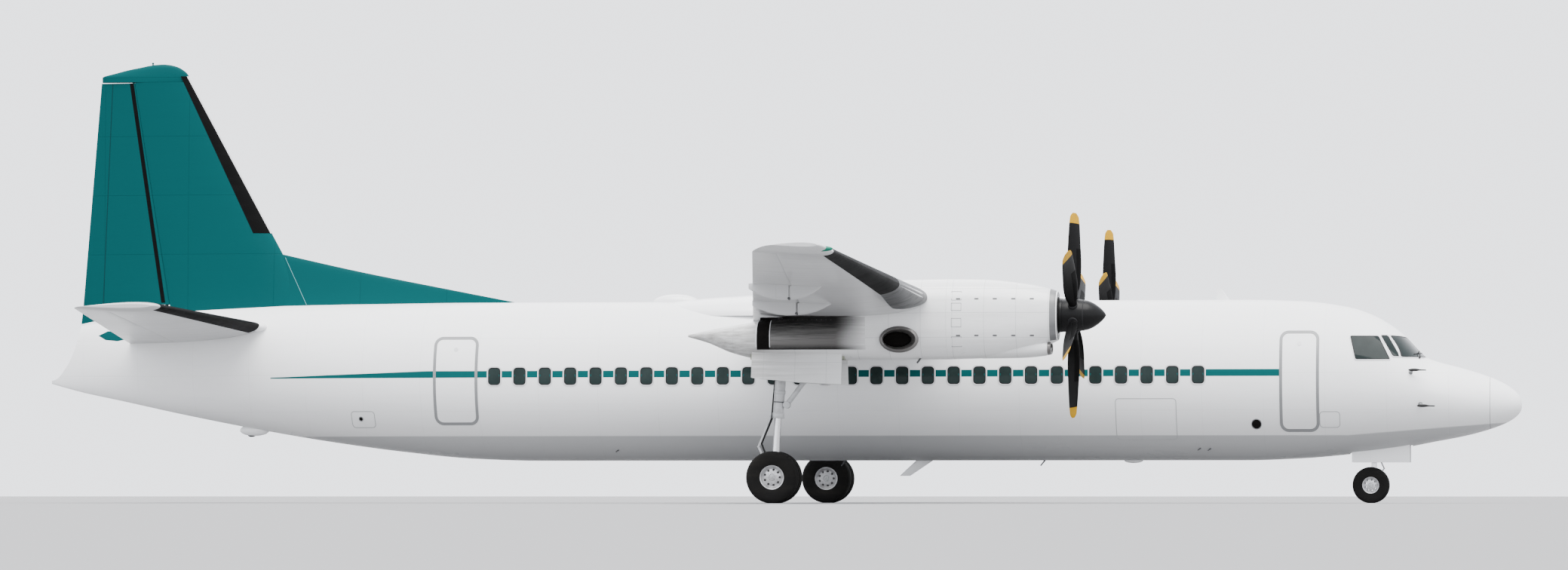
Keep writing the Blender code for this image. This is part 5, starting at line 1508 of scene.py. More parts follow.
def fin_share(height):
    nose = on_line(FIN_NOSE, height)
    return (nose - on_line(RUDDER_HINGE, height)) / (nose - on_line(RUDDER_TAIL, height))


def rudder_hinge_at(height):
    return Vector((on_line(RUDDER_HINGE, height), 0, up(height)))


def make_fin():
    heights = [2.55, 2.8, 3.1, 3.35, 3.54, *spread(3.8, FIN_TOP_Z, 8)]
    piece("fin_skin", loft([fin_ring(h, end=fin_share(h), cove=SWING) for h in heights]), PAINT_TEAL,
          stands_for=("fin",))
    cap_at = smooth_table(FIN_CAP_RINGS)

    def cap_ring(height, front, rear, half):
        middle, reach = (front + rear) / 2, (front - rear) / 2
        return [(middle + reach * math.cos(t), half * math.sin(t), up(height)) for t in turns(48)]

    levels = (
        FIN_TOP_Z + 0.003, 6.58, 6.61, 6.633, 6.655, 6.68, 6.70, 6.727, 6.754, 6.78, 6.80, 6.822, 6.842, 6.85)
    piece("fin_cap", loft([cap_ring(h, *cap_at(h)) for h in levels]), PAINT_TEAL)
    piece("fin_cap_seal",
          loft([cap_ring(h, -10.26, -11.745, 0.068) for h in (FIN_TOP_Z - 0.001, FIN_TOP_Z + 0.005)]),
          SEAM_TEAL)

    make_rudder()
    make_dorsal_fin()
    boot = fin_cover(lambda height: 0.30 - 0.18 * (height - BOOT_HEIGHTS[0]) / 2.69)
    # a pale strip over the boot's very leading edge is a painted highlight
    line = fin_cover(lambda height: 0.020)
    piece("fin_boot", edge_strip(boot, spread(*BOOT_HEIGHTS, 10), 0.003), BOOT_RUBBER)
    piece("fin_edge_painted_highlight", edge_strip(line, spread(*BOOT_HEIGHTS, 10), 0.009), WINDOW_RIM)
    make_front_seam()
    knob = Vector((-10.858, 0, up(6.868)))
    piece("fin_cap_knob", [rod_form(knob - Vector((0, 0, 0.04)), knob, 0.012, facets=12),
                           sphere_form(knob, (0.02, 0.02, 0.016), 16)], PAINT_TEAL)
    heights = spread(RUDDER_FOOT_Z + 0.03, RUDDER_TOP_Z - 0.004, 8)
    # a dark band on each face of the rudder's nose is painted shadow of the hinge gap
    piece("rudder_gap_painted_shadow", face_strips(RUDDER_HINGE, 0.012, -0.056, heights), BOOT_RUBBER, body="rudder")
    piece("rudder_tab_line", face_strips(TAB_LINE, 0.0, -0.012, heights), SEAM_TEAL, body="rudder")


def make_rudder():
    """The rudder with its foot and its pins."""
    rudder = scratch(loft([fin_ring(h, start=fin_share(h), round_nose=True)
                           for h in (RUDDER_FOOT_Z, 3.1, 3.54, *spread(4.2, RUDDER_TOP_Z, 5))]))
    foot = prism(((-10.95, 2.72), (-12.06, 2.72), (-12.10, 2.37), (-11.85, 2.42), (-11.0, 2.60)), -0.03, 0.03)
    carve(foot, [scratch(fuselage_form(within(body_stations(), -12.6, -10.0), 0.008))])
    finish_piece(rudder, "rudder_skin", PAINT_TEAL, body="rudder", stands_for=("rudder",))
    finish_piece(foot, "rudder_foot", PAINT_TEAL, body="rudder")
    above, below, head = (rudder_hinge_at(h) for h in (RUDDER_FOOT_Z + 0.1, RUDDER_PIN_Z, RUDDER_TOP_Z))
    axis = (head - above).normalized()
    piece("rudder_pins",
          merge(rod_form(above, below, 0.03), rod_form(head - axis * 0.1, head + axis * 0.0132, 0.02)),
          GLOVE_METAL, body="rudder")


def make_dorsal_fin():
    """The long fillet ahead of the fin."""
    rows = []
    dorsal_at = smooth_table(DORSAL_RINGS)
    for x in spread(-8.62, -4.52, 18):
        crest, half = dorsal_at(x)
        row = []
        for i in range(17):
            t = -1 + i / 8
            wide = half * (1 + 0.9 * abs(t) ** 3)
            row.append((x, wide * t, up(DORSAL_FOOT + (crest - DORSAL_FOOT) * (1 - abs(t) ** DORSAL_POWER))))
        rows.append(row)
    piece("dorsal_fillet", loft(rows), PAINT_TEAL, stands_for=("dorsal_fin",))


def make_front_seam():
    """The seam where the fillet meets the fin's front."""
    dorsal_at = smooth_table(DORSAL_RINGS)
    seams = []
    for side in (PORT, STARBOARD):
        points = []
        for i in range(9):
            x, h = -8.515 + 0.40 * i / 8, 3.50 - 0.82 * i / 8
            crest, half = dorsal_at(x)
            t = ((crest - h) / (crest - DORSAL_FOOT)) ** (1 / DORSAL_POWER)
            points.append(Vector((x, side * (half * (1 + 0.9 * t ** 3) * t), up(h))))
        seams += [rod_form(a, b, 0.005, facets=8) for a, b in zip(points, points[1:])]
    piece("fin_front_seam", seams, PALE_TEAL)


def face_strips(line, front, rear, heights):
    """A thin band on each face of the rudder, from one distance ahead of a line to another."""
    strips = []
    for side in (PORT, STARBOARD):
        rings = []
        for h in heights:
            nose, tail = on_line(FIN_NOSE, h), on_line(RUDDER_TAIL, h)
            ring = []
            for offset, out in ((front, 0.002), (rear, 0.002), (rear, -0.004), (front, -0.004)):
                x = on_line(line, h) + offset
                half = half_thickness((nose - x) / (nose - tail), TAIL_THICKNESS) * (nose - tail)
                ring.append((x, side * (half + out), up(h)))
            rings.append(ring)
        strips.append(loft(rings))
    return merge(*strips)


def tail_chord(y):
    part = (y - 0.75) / (4.85 - 0.75)
    nose = Vector((-8.77 - 0.90 * part, y, up(2.30 + 0.24 * part)))
    tail = Vector((-11.16 + 0.08 * part, y, up(2.07 + 0.45 * part)))
    return nose, tail


def tail_hinge_share(y):
    nose, tail = tail_chord(y)
    return (nose.x + 10.38 + 0.17 * (y - 0.75) / (4.85 - 0.75)) / (nose.x - tail.x)


def tail_hinge(y):
    nose, tail = tail_chord(y)
    return nose + (tail - nose) * tail_hinge_share(y)


def tail_ring(y, **form):
    return panel_ring(*tail_chord(y), UPWARD, TAIL_THICKNESS, 0.0, **form)


def tail_boot_row(y, lift):
    return edge_points(*tail_chord(y), UPWARD, TAIL_THICKNESS, 0.0, 0.085, lift)


def tail_nose_radius(y):
    nose, tail = tail_chord(y)
    return half_thickness(tail_hinge_share(y), TAIL_THICKNESS) * (tail - nose).length


def make_tailplane():
    for word, side in SIDES:
        rings = [tail_ring(y) for y in spread(0.20, 4.70, 8)]
        for y, long, high in ((4.76, 0.985, 0.95), (4.81, 0.95, 0.82), (4.85, 0.90, 0.62), (4.87, 0.84, 0.4)):
            rings.append(tip_ring(tail_ring(y), long, high))
        plane = scratch(loft(sided(rings, side)))
        walls = (ELEVATOR_SPAN[0] - RIB_GAP, ELEVATOR_SPAN[1] + RIB_GAP)
        carve(plane, [bay_form(walls, side, tail_hinge, tail_nose_radius, lambda y: tail_chord(y)[1])])
        finish_piece(plane, f"tailplane_skin_{word}", PAINT_TAIL, stands_for=(f"tailplane_{word}",))
        rings = [tail_ring(y, start=tail_hinge_share(y), round_nose=True) for y in spread(*ELEVATOR_SPAN, 6)]
        piece(f"elevator_skin_{word}", loft(sided(rings, side)), PAINT_TAIL, body=f"elevator_{word}",
              stands_for=(f"elevator_{word}",))
        piece(f"elevator_pins_{word}", pin_forms(tail_hinge, ELEVATOR_SPAN, side, RIB_GAP), GLOVE_METAL,
              body=f"elevator_{word}")

        piece(f"tailplane_boot_{word}", edge_strip(tail_boot_row, spread(0.83, 4.68, 10), 0.003, side),
              BOOT_RUBBER)
        piece(f"tailplane_root_{word}", sphere_form((-8.84, side * 0.70, up(2.29)), (0.15, 0.17, 0.085), 32),
              PAINT_FUSELAGE)
        patch = dense(((-11.76, 2.16), (-11.60, 2.235), (-11.42, 2.235), (-11.22, 2.10), (-11.40, 2.065),
                       (-11.62, 2.085)), 0.06)
        piece(f"tail_teal_patch_{word}", skin_patch(patch, side, 0.003, 0.012, 3), PAINT_TEAL)


# Nacelles, engines and propellers

nacelle_at = smooth_table(NACELLE_SECTIONS)
cowl_at = smooth_table(COWL_SECTIONS)
chin_at = smooth_table(CHIN_SECTIONS)
POD_POINTS = 80
POD_POWER = 0.8
SHEET_STEP = 0.04
LIP_START_X = 5.03
HEAT_PANEL = (0.22, 2.02, 1.80, 2.335)
BAY_LINING = 0.004
# columns: radius from the hub, chord, thickness, pitch from the disc's plane
BLADE_SECTIONS = (
    (0.20, 0.13, 0.12, 62),
    (0.36, 0.15, 0.11, 60),
    (0.55, 0.24, 0.06, 54),
    (0.90, 0.30, 0.035, 45),
    (1.40, 0.28, 0.022, 36),
    (1.62, 0.24, 0.014, 32),
    (PROP_RADIUS, 0.15, 0.010, 31),
)
blade_at = smooth_table(BLADE_SECTIONS)
radius_at = smooth_table(((5.56, 0.25), (5.63, 0.238), (5.71, 0.206), (5.79, 0.156), (5.828, 0.126),
                          (5.868, 0.089), (5.906, 0.045), (5.922, 0.020)))


def pod_ring(x, top, bottom, half, side, points=POD_POINTS, grow=0.0):
    """A rounded box section of a nacelle."""
    middle = (top + bottom) / 2
    high = (top - bottom) / 2 + grow
    ring = []
    for turn in turns(points):
        c, s = math.cos(turn), math.sin(turn)
        ring.append((x, side * ENGINE_Y + (half + grow) * math.copysign(abs(c) ** POD_POWER, c),
                     up(middle + high * math.copysign(abs(s) ** POD_POWER, s))))
    return ring


def pod_form(at, stations, side):
    return loft([pod_ring(x, *at(x), side) for x in stations])


def on_pod(x, height, side, lift=0.0):
    """A point on the outer face of a nacelle or its cowling."""
    top, bottom, half = nacelle_at(x) if x < FIREWALL_X else cowl_at(x)
    middle = (top + bottom) / 2
    rise = max(-0.999, min(0.999, (height - middle) / ((top - bottom) / 2)))
    share = abs(rise) ** (1 / POD_POWER)
    reach = half * math.sqrt(max(0.0, 1 - share * share)) ** POD_POWER
    tilt = Vector((0, 1, 1.4 * rise * share)).normalized()
    return Vector((x, side * (ENGINE_Y + reach + lift * tilt.y), up(height) + lift * tilt.z))


def pod_sheet(side, area, lift, depth=0.02):
    """A plate that follows a nacelle's outer side, over an area given as two stations and two heights."""
    low_x, high_x, low, high = area
    rings = []
    for x in spread(low_x, high_x, max(2, round((high_x - low_x) / SHEET_STEP) + 1)):
        heights = spread(low, high, max(3, round((high - low) / SHEET_STEP) + 1))
        outer = [on_pod(x, height, side, lift) for height in heights]
        inner = [on_pod(x, height, side, lift - depth) for height in reversed(heights)]
        rings.append(outer + inner)
    return loft(rings)


def oval_ring(side, reach, grow, shift=0.0):
    """An oval round the exhaust, at a distance out from the nacelle's middle plane."""
    x, height = EXHAUST_AT
    long, high = (radius + grow for radius in EXHAUST_RADII)
    return [(x + shift + long * math.cos(t), side * (ENGINE_Y + reach), up(height) + high * math.sin(t))
            for t in turns(64)]


def make_nacelle(word, side):
    body = scratch(pod_form(nacelle_at, [*spread(-0.98, -0.2, 12), *spread(-0.1, 3.349, 26)], side))
    rear, front, half, top = MAIN_BAY
    bay = scratch(box_form((rear, side * ENGINE_Y - half, 2.0), (front, side * ENGINE_Y + half, top)))
    hole = scratch(loft([oval_ring(side, 0.40, 0.0006), oval_ring(side, 0.80, 0.0006)]))
    carve(body, [bay, hole])
    finish_piece(body, f"nacelle_skin_{word}", PAINT_NACELLE, stands_for=(f"nacelle_{word}",))
    make_wheel_bay(word, side)
    make_exhaust(word, side)


def make_wheel_bay(word, side):
    """The lining, frames and pipes of a main wheel bay."""
    rear, front, half, top = MAIN_BAY
    lining = []
    y = side * ENGINE_Y
    low_z = 2.36
    for low, high in (((rear, y - half, low_z), (rear + BAY_LINING, y + half, top)),
                      ((front - BAY_LINING, y - half, low_z), (front, y + half, top)),
                      ((rear, y - half, low_z), (front, y - half + BAY_LINING, top)),
                      ((rear, y + half - BAY_LINING, low_z), (front, y + half, top)),
                      ((rear, y - half, top - BAY_LINING), (front, y + half, top))):
        lining.append(box_form(low, high))
    for i in range(7):
        x = rear + 0.12 + i * (front - rear - 0.24) / 6
        lining.append(box_form((x - 0.012, y - half, top - 0.035), (x + 0.012, y + half, top), 0.003))
        for edge in (-1, 1):
            wall = y + edge * (half - 0.0125)
            lining.append(
                box_form((x - 0.012, wall - 0.0125, low_z + 0.06), (x + 0.012, wall + 0.0125, top), 0.003))
    piece(f"wheel_bay_{word}", lining, BAY_PRIMER, slot="engine_cast")
    pipes = []
    for x, z, radius in ((0.34, 3.50, 0.013), (0.44, 3.47, 0.009), (1.30, 3.44, 0.011)):
        pipes.append(
            rod_form((x, y - half + 0.01, z - 0.75), (x, y + half - 0.01, z - 0.75), radius, facets=10))
        pipes.append(rod_form((x, y - 0.29, z - 0.74), (x + 0.03, y - 0.285, top - 0.01), radius, facets=10))
    piece(f"bay_pipes_{word}", pipes, HOSE_BLACK)


def make_exhaust(word, side):
    """The exhaust's mouth and throat, and the heat panel behind it with its edges and studs."""
    piece(f"exhaust_ring_{word}", loft([oval_ring(side, *row) for row in EXHAUST_RING]), PIPE_METAL,
          slot="sooty_steel", stands_for=(f"exhaust_{word}",))
    piece(f"exhaust_throat_{word}", loft([oval_ring(side, *row) for row in EXHAUST_THROAT]), SOOT_AND_SHADE_BLACK)
    piece(f"heat_panel_{word}", pod_sheet(side, HEAT_PANEL, 0.006), SOOTY_STEEL)
    rear_x = HEAT_PANEL[0]
    piece(f"heat_panel_end_{word}", pod_sheet(side, (rear_x + 0.005, rear_x + 0.21, 1.815, 2.325), 0.011),
          SOOT_AND_SHADE_BLACK)
    edges = merge(pod_sheet(side, (rear_x - 0.025, rear_x, 1.84, 2.30), 0.008),
                  pod_sheet(side, (rear_x + 0.213, rear_x + 0.226, 1.84, 2.28), 0.010))
    piece(f"heat_panel_edge_{word}", edges, WINDOW_RIM)
    studs = []
    for x in spread(0.50, 1.46, 13):
        for height in (1.835, 2.285):
            studs.append(sphere_form(on_pod(x, height, side, 0.006), (0.006, 0.003, 0.006), 8))
    piece(f"heat_panel_studs_{word}", studs, GLOVE_METAL, slot="sooty_steel")
    y = side * ENGINE_Y
    vents = [rod_form(on_pod(0.9, 1.70, side, -0.02), on_pod(0.84, 1.70, side, 0.05), 0.02, facets=16,
                      bevel=0.003),
             rod_form((2.9, y + side * 0.2, up(1.66)), (2.84, y + side * 0.22, up(1.58)), 0.016, facets=16)]
    piece(f"oil_vent_{word}", vents, GLOVE_METAL)


def pod_room(side, *rows):
    """A plain closed room inside a cowling, through sections of x, top, bottom and half width."""
    return loft([pod_ring(*row, side, 48) for row in rows])


def make_cowling(word, side):
    hub = (side * ENGINE_Y, HUB_Z)
    shell = scratch(pod_form(cowl_at, spread(FIREWALL_X + 0.0008, COWL_LIP_X - 0.025, 22)
                             + [COWL_LIP_X - 0.012, COWL_LIP_X - 0.004], side))
    chin = scratch(pod_form(chin_at, spread(3.90, 5.02, 14), side))
    carve(shell, [chin], "UNION")
    walls = [(3.25, 2.96, 1.64, 0.58), *((x, *cowl_at(x)) for x in (3.95, 4.4, 4.61, 4.8, 5.0))]
    inside = scratch(
        pod_room(side, *((x, top - 0.03, bottom + 0.03, half - 0.03) for x, top, bottom, half in walls)))
    shaft = scratch(rod_form((4.8, *hub), (5.4, *hub), HUB_RADIUS + 0.03, facets=64))
    duct = scratch(pod_room(side, (5.2, 1.89, 1.76, 0.23), (4.4, 1.90, 1.78, 0.23)))
    carve(shell, [inside, shaft, duct])
    finish_piece(shell, f"cowling_skin_{word}", PAINT_NACELLE, stands_for=(f"cowling_{word}",))
    make_cowl_lip(word, side)
    make_chin(word, side)
    frames = []
    for low, high in ((2.60, 2.74), (2.43, 2.55), (2.16, 2.30), (1.84, 2.00)):
        hatch = [(3.44, low), (3.60, low), (3.60, high), (3.44, high)]
        frames.append(skin_frame(hatch, side, 0.0035, 0.0035, 0.0025, 0.006, on_pod))
    piece(f"cowl_hatches_{word}", frames, DOOR_RIM, slot="tyre_rubber")
    latches = []
    for x in (3.55, 3.85, 4.15, 4.45, 4.75):
        for height in (2.02, 2.62):
            latch = rounded_outline(x - 0.035, x + 0.035, height - 0.011, height + 0.011, 0.008, 3)
            latches.append(skin_patch(latch, side, 0.0022, 0.008, 1, on_pod))
    piece(f"cowl_latches_{word}", latches, GLOVE_METAL)


def make_cowl_lip(word, side):
    """The bare metal lip round the intake, from the cowling's skin in to the spinner."""
    lip = []
    for x, grow in ((LIP_START_X, 0.0015), (LIP_START_X + 0.06, 0.0022), (COWL_LIP_X - 0.03, 0.002),
                    (COWL_LIP_X - 0.012, -0.002), (COWL_LIP_X - 0.003, -0.010), (COWL_LIP_X, -0.022)):
        lip.append(pod_ring(x, *cowl_at(min(x, COWL_LIP_X)), side, 96, grow))
    for radius, x in ((HUB_RADIUS + 0.042, COWL_LIP_X), (HUB_RADIUS + 0.033, COWL_LIP_X - 0.006),
                      (HUB_RADIUS + 0.031, COWL_LIP_X - 0.02)):
        lip.append([(x, y, z) for y, z in circle(side * ENGINE_Y, HUB_Z, radius, 96)])
    for x, grow in ((COWL_LIP_X - 0.022, -0.04), (LIP_START_X, -0.006)):
        lip.append(pod_ring(x, *cowl_at(x), side, 96, grow))
    rim = scratch(loft(lip, True))
    carve(rim, [scratch(pod_room(side, (5.3, 1.955, 1.70, 0.30), (4.9, 1.98, 1.68, 0.32)))])
    finish_piece(rim, f"cowling_lip_{word}", LIP_METAL)


def make_chin(word, side):
    """The lip, vanes and lining of the small duct under the intake, the lining black as painted shade."""
    y = side * ENGINE_Y
    rows = [pod_ring(x, *chin_at(min(x, 5.02)), side, 64, grow)
            for x, grow in ((4.985, 0.002), (5.012, 0.0035), (5.032, -0.004), (5.036, -0.012))]
    for x, shrink in ((5.034, 0.004), (5.02, 0.0), (4.96, -0.002)):
        rows.append(pod_ring(x, 1.89 + shrink, 1.76 - shrink, 0.23 + shrink, side, 64))
    rows.append(pod_ring(4.975, *chin_at(4.975), side, 64, -0.01))
    piece(f"chin_lip_{word}", loft(rows, True), PIPE_METAL, slot="gear_steel")
    splitter = [box_form((4.55, y - 0.235, up(1.825)), (4.98, y + 0.235, up(1.831)))]
    for i in (-2, -1, 0, 1, 2):
        splitter.append(box_form((4.55, y + i * 0.075 - 0.003, up(1.765)),
                                 (4.94, y + i * 0.075 + 0.003, up(1.89))))
    piece(f"chin_vanes_{word}", splitter, GLOVE_METAL)
    # the duct's black lining is painted shade inside the opening
    duct = pod_room(side, (4.42, 1.895, 1.765, 0.228), (4.97, 1.893, 1.757, 0.2335),
                    (4.97, 1.885, 1.765, 0.2255), (4.44, 1.885, 1.775, 0.218))
    piece(f"chin_duct_shade_lining_{word}", duct, SOOT_AND_SHADE_BLACK, slot="tyre_rubber")


def blade_ring(radius, chord, thickness, pitch):
    """One fine section of an upright blade, at a distance up from the hub's centre."""
    c, s = math.cos(math.radians(pitch)), math.sin(math.radians(pitch))
    ring = []
    for turn in turns(24):
        a = 0.5 * chord * math.cos(turn)
        bulge = 0.45 if math.sin(turn) > 0 else 0.35
        b = bulge * thickness * math.sin(turn) * (1 + 0.25 * math.cos(turn))
        ring.append((PROP_X + a * s + b * c, a * c - b * s, radius))
    return ring


def blade_sheet(place_blade, radius):
    """One section of the rubber boot that wraps a blade's leading edge."""
    chord, thickness, pitch = blade_at(radius)
    outer = blade_ring(radius, chord + 0.004, thickness + 0.004, pitch)
    inner = blade_ring(radius, chord - 0.004, thickness - 0.001, pitch)
    front = [*outer[19:], *outer[:6], *(inner[19:] + inner[:6])[::-1]]
    return [place_blade @ Vector(point) for point in front]


def make_blades(word, side):
    """The six twisted blades with their boots and cuffs."""
    body = f"propeller_{word}"
    stations = [*spread(0.20, 1.62, 26), 1.645, 1.665, 1.678, 1.686, PROP_RADIUS]
    blades, boots, cuffs = [], [], []
    for i in range(BLADES):
        turn = Matrix.Rotation(math.radians(PROP_REST_TURN[side] + i * 360 / BLADES), 4, "X")
        place_blade = Matrix.Translation((0, side * ENGINE_Y, HUB_Z)) @ turn
        rings = []
        for radius in stations:
            chord, thickness, pitch = blade_at(radius)
            edge = max(0.0, (radius - 1.60) / (PROP_RADIUS - 1.60))
            ring = blade_ring(radius, chord * (1 - 0.35 * edge ** 3), thickness, pitch)
            rings.append([place_blade @ Vector(point) for point in ring])
        blades.append(loft(rings))
        boots.append(loft([blade_sheet(place_blade, radius) for radius in spread(0.42, 1.10, 8)]))
        rings = []
        for radius, wide in ((0.262, 0.075), (0.272, 0.079), (0.292, 0.079), (0.30, 0.074)):
            rings.append([place_blade @ Vector((x, y, radius)) for x, y in circle(PROP_X, 0.0, wide, 32)])
        cuffs.append(loft(rings))
    piece(f"propeller_blades_{word}", blades, BLADE_BLACK, body=body, stands_for=(f"propeller_{word}",),
          sharp=50)
    piece(f"blade_boots_{word}", boots, BOOT_RUBBER, body=body)
    piece(f"blade_cuffs_{word}", cuffs, SEAL_RUBBER, body=body, slot="black_blade")


def make_spinner(word, side):
    """The hub, the spinner's cone and band, and the plate behind them."""
    def turned(name, profile, paint, **more):
        piece(f"{name}_{word}", turned_form(profile, (0, side * ENGINE_Y, HUB_Z), "X", 72), paint,
              body=f"propeller_{word}", **more)

    turned("propeller_hub", ((0.0, 5.5597), (0.250, 5.5597), (0.262, 5.50), (HUB_RADIUS - 0.002, 5.44),
                             (HUB_RADIUS, 5.40), (HUB_RADIUS, 5.225), (HUB_RADIUS - 0.004, 5.212),
                             (0.0, 5.21)), SPINNER_BLACK)
    cone = [(radius_at(x)[0], x) for x in spread(5.5603, 5.922, 22)]
    turned("spinner_cone", [(0.0, 5.5603), *cone, (0.008, 5.927), (0.0, 5.928)], SPINNER_BLACK,
           stands_for=(f"spinner_{word}",))
    turned("spinner_band", ((0.2495, 5.552), (0.2535, 5.552), (0.2535, 5.568), (0.2485, 5.568)), SEAL_RUBBER,
           slot="spinner_paint")
    turned("spinner_back_plate", ((0.11, 5.150), (HUB_RADIUS + 0.004, 5.146), (HUB_RADIUS + 0.006, 5.150),
                                  (HUB_RADIUS + 0.004, 5.213), (HUB_RADIUS - 0.01, 5.222), (0.11, 5.222)),
           SPINNER_BLACK)


def make_power_plants():
    for word, side in SIDES:
        make_nacelle(word, side)
        make_cowling(word, side)
        make_blades(word, side)
        make_spinner(word, side)
        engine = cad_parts[f"engine_{word}"]
        engine.data.materials.clear()
        engine.data.materials.append(ENGINE_METAL)


# Landing gear

BOSS_HALF = 0.06
WHEEL_HOLES = 9
BRAKED_AXLE = 0.04
DOOR_SHEET = 0.022
NOSE_LEG_FOOT = 0.80
NOSE_PIVOT_Z = 1.34
LAMP_Z = 1.17


def tyre_form(x, y, z, tyre):
    """A tyre with rounded shoulders and four grooves round its tread."""
    radius, bead, width = tyre
    half = width / 2
    profile = []
    grooves = [-0.42, -0.14, 0.14, 0.42]
    crown = [(-0.66, 0.012), (-0.55, 0.003)]
    for g in grooves:
        crown += [(g - 0.035, 0.0), (g - 0.030, 0.009), (g + 0.030, 0.009), (g + 0.035, 0.0)]
    crown += [(0.55, 0.003), (0.66, 0.012)]
    for share, sink in crown:
        profile.append((radius - sink * radius / 0.43, half * share))
    wall = [(0.955, 0.84), (0.90, 0.955), (0.82, 1.0), (0.72, 0.985), (0.62, 0.93)]
    side = [(radius * r, half * a) for r, a in wall if radius * r > bead * 1.1]
    side += [(bead * 1.08, half * 0.84), (bead * 1.02, half * 0.78), (bead, half * 0.70)]
    profile = [(r, -a) for r, a in reversed(side)] + profile + side
    return turned_form(profile, (x, y, z), "Y", 96)


def wheel_form(x, y, z, tyre, wheel_y, edge):
    """The face of one wheel: a dished disc with a rim flange."""
    bead = tyre[1] - 0.0008
    half = tyre[2] * 0.36
    face = wheel_y + half * 0.5
    profile = [(0.0, edge * (face - 0.012)), (bead * 0.26, edge * (face - 0.012)), (bead * 0.30, edge * face),
               (bead * 0.55, edge * (face - 0.004)), (bead * 0.72, edge * (face - 0.018)),
               (bead * 0.84, edge * (face + 0.002)), (bead * 0.93, edge * (wheel_y + half * 0.94)),
               (bead, edge * (wheel_y + half)), (bead, edge * (wheel_y - half)),
               (bead * 0.90, edge * (wheel_y - half * 0.96)), (bead * 0.80, edge * (wheel_y - half * 0.5)),
               (0.0, edge * (wheel_y - half * 0.5))]
    if edge < 0:
        profile.reverse()
    return turned_form(profile, (x, y, z), "Y", 72)


def make_wheels(name, x, y, z, tyre, wheel_y, axle_radius, body, solids):
    """A pair of wheels on their axle, with bolts, and with brake discs where the axle is thick."""
    disc = scratch(merge(*(wheel_form(x, y, z, tyre, wheel_y, edge) for edge in (-1, 1))))
    bead = tyre[1]
    rim_half = tyre[2] * 0.18
    face = wheel_y + rim_half
    holes = [cross_bar(hole_x, y + edge * wheel_y, hole_z, 0.12, bead * 0.10, 24) for edge in (-1, 1)
             for hole_x, hole_z in circle(x, z, bead * 0.63, WHEEL_HOLES)]
    carve(disc, [scratch(merge(*holes))])
    finish_piece(disc, f"{name}_rims", WHEEL_ALLOY, body=body, stands_for=solids[:1])

    def along_axle(edge, near, far, *radii, at_x=x, at_z=z, **more):
        return rod_form((at_x, y + edge * near, at_z), (at_x, y + edge * far, at_z), *radii, **more)

    axle = []
    for edge in (-1, 1):
        axle.append(
            along_axle(edge, BOSS_HALF + 0.0006, wheel_y - rim_half + 0.001, axle_radius * 1.5, facets=36))
        axle.append(along_axle(edge, face - 0.02, face + 0.002, bead * 0.22, bead * 0.20, facets=36,
                               bevel=0.003))
        axle.append(along_axle(edge, face, face + 0.011, bead * 0.09, bead * 0.07, facets=6))
        for t in turns(WHEEL_HOLES, 0.5):
            bolt_x, bolt_z = x + bead * 0.43 * math.cos(t), z + bead * 0.43 * math.sin(t)
            axle.append(along_axle(edge, face - 0.004, face + 0.007, bead * 0.045, at_x=bolt_x, at_z=bolt_z,
                                   facets=6))
    axle.append(cross_bar(x, y, z, BOSS_HALF + 0.01, axle_radius, 28))
    piece(f"{name}_hubs", axle, GEAR_PAINT, body=body)
    if axle_radius > BRAKED_AXLE:
        middle = wheel_y - rim_half - 0.024
        discs = [along_axle(edge, middle - 0.022, middle + 0.022, bead * 0.72, facets=56, bevel=0.003)
                 for edge in (-1, 1)]
        piece(f"{name}_brake_discs", discs, ENGINE_METAL, body=body)
    for tyre_name, at_y in zip(solids[1:], (y - wheel_y, y + wheel_y)):
        piece(f"{tyre_name}_rubber", tyre_form(x, at_y, z, tyre), TYRE_RUBBER, body=body,
              stands_for=(tyre_name,))


def link_form(start, end, wide, thick, narrow=0.6):
    """One flat arm of a scissor link between two points in an XZ plane."""
    start, end = Vector(start), Vector(end)
    along = (end - start).normalized()
    up_side = Vector((-along.z, 0, along.x))
    rings = []
    for part, size in ((0.0, 1.0), (0.12, 1.0), (0.5, narrow), (0.88, narrow * 0.9), (1.0, narrow * 0.9)):
        middle = start + (end - start) * part
        rings.append([middle + up_side * (thick / 2 * a) + Vector((0, wide / 2 * size * b, 0))
                      for a, b in ((1, 1), (1, -1), (-1, -1), (-1, 1))])
    return loft(rings)


def hose_form(points, radius, facets=10):
    """A bent pipe through a few points."""
    points = [Vector(p) for p in points]
    builds = [rod_form(a, b, radius, facets=facets) for a, b in zip(points, points[1:])]
    builds += [sphere_form(p, (radius, radius, radius), facets) for p in points]
    return merge(*builds)


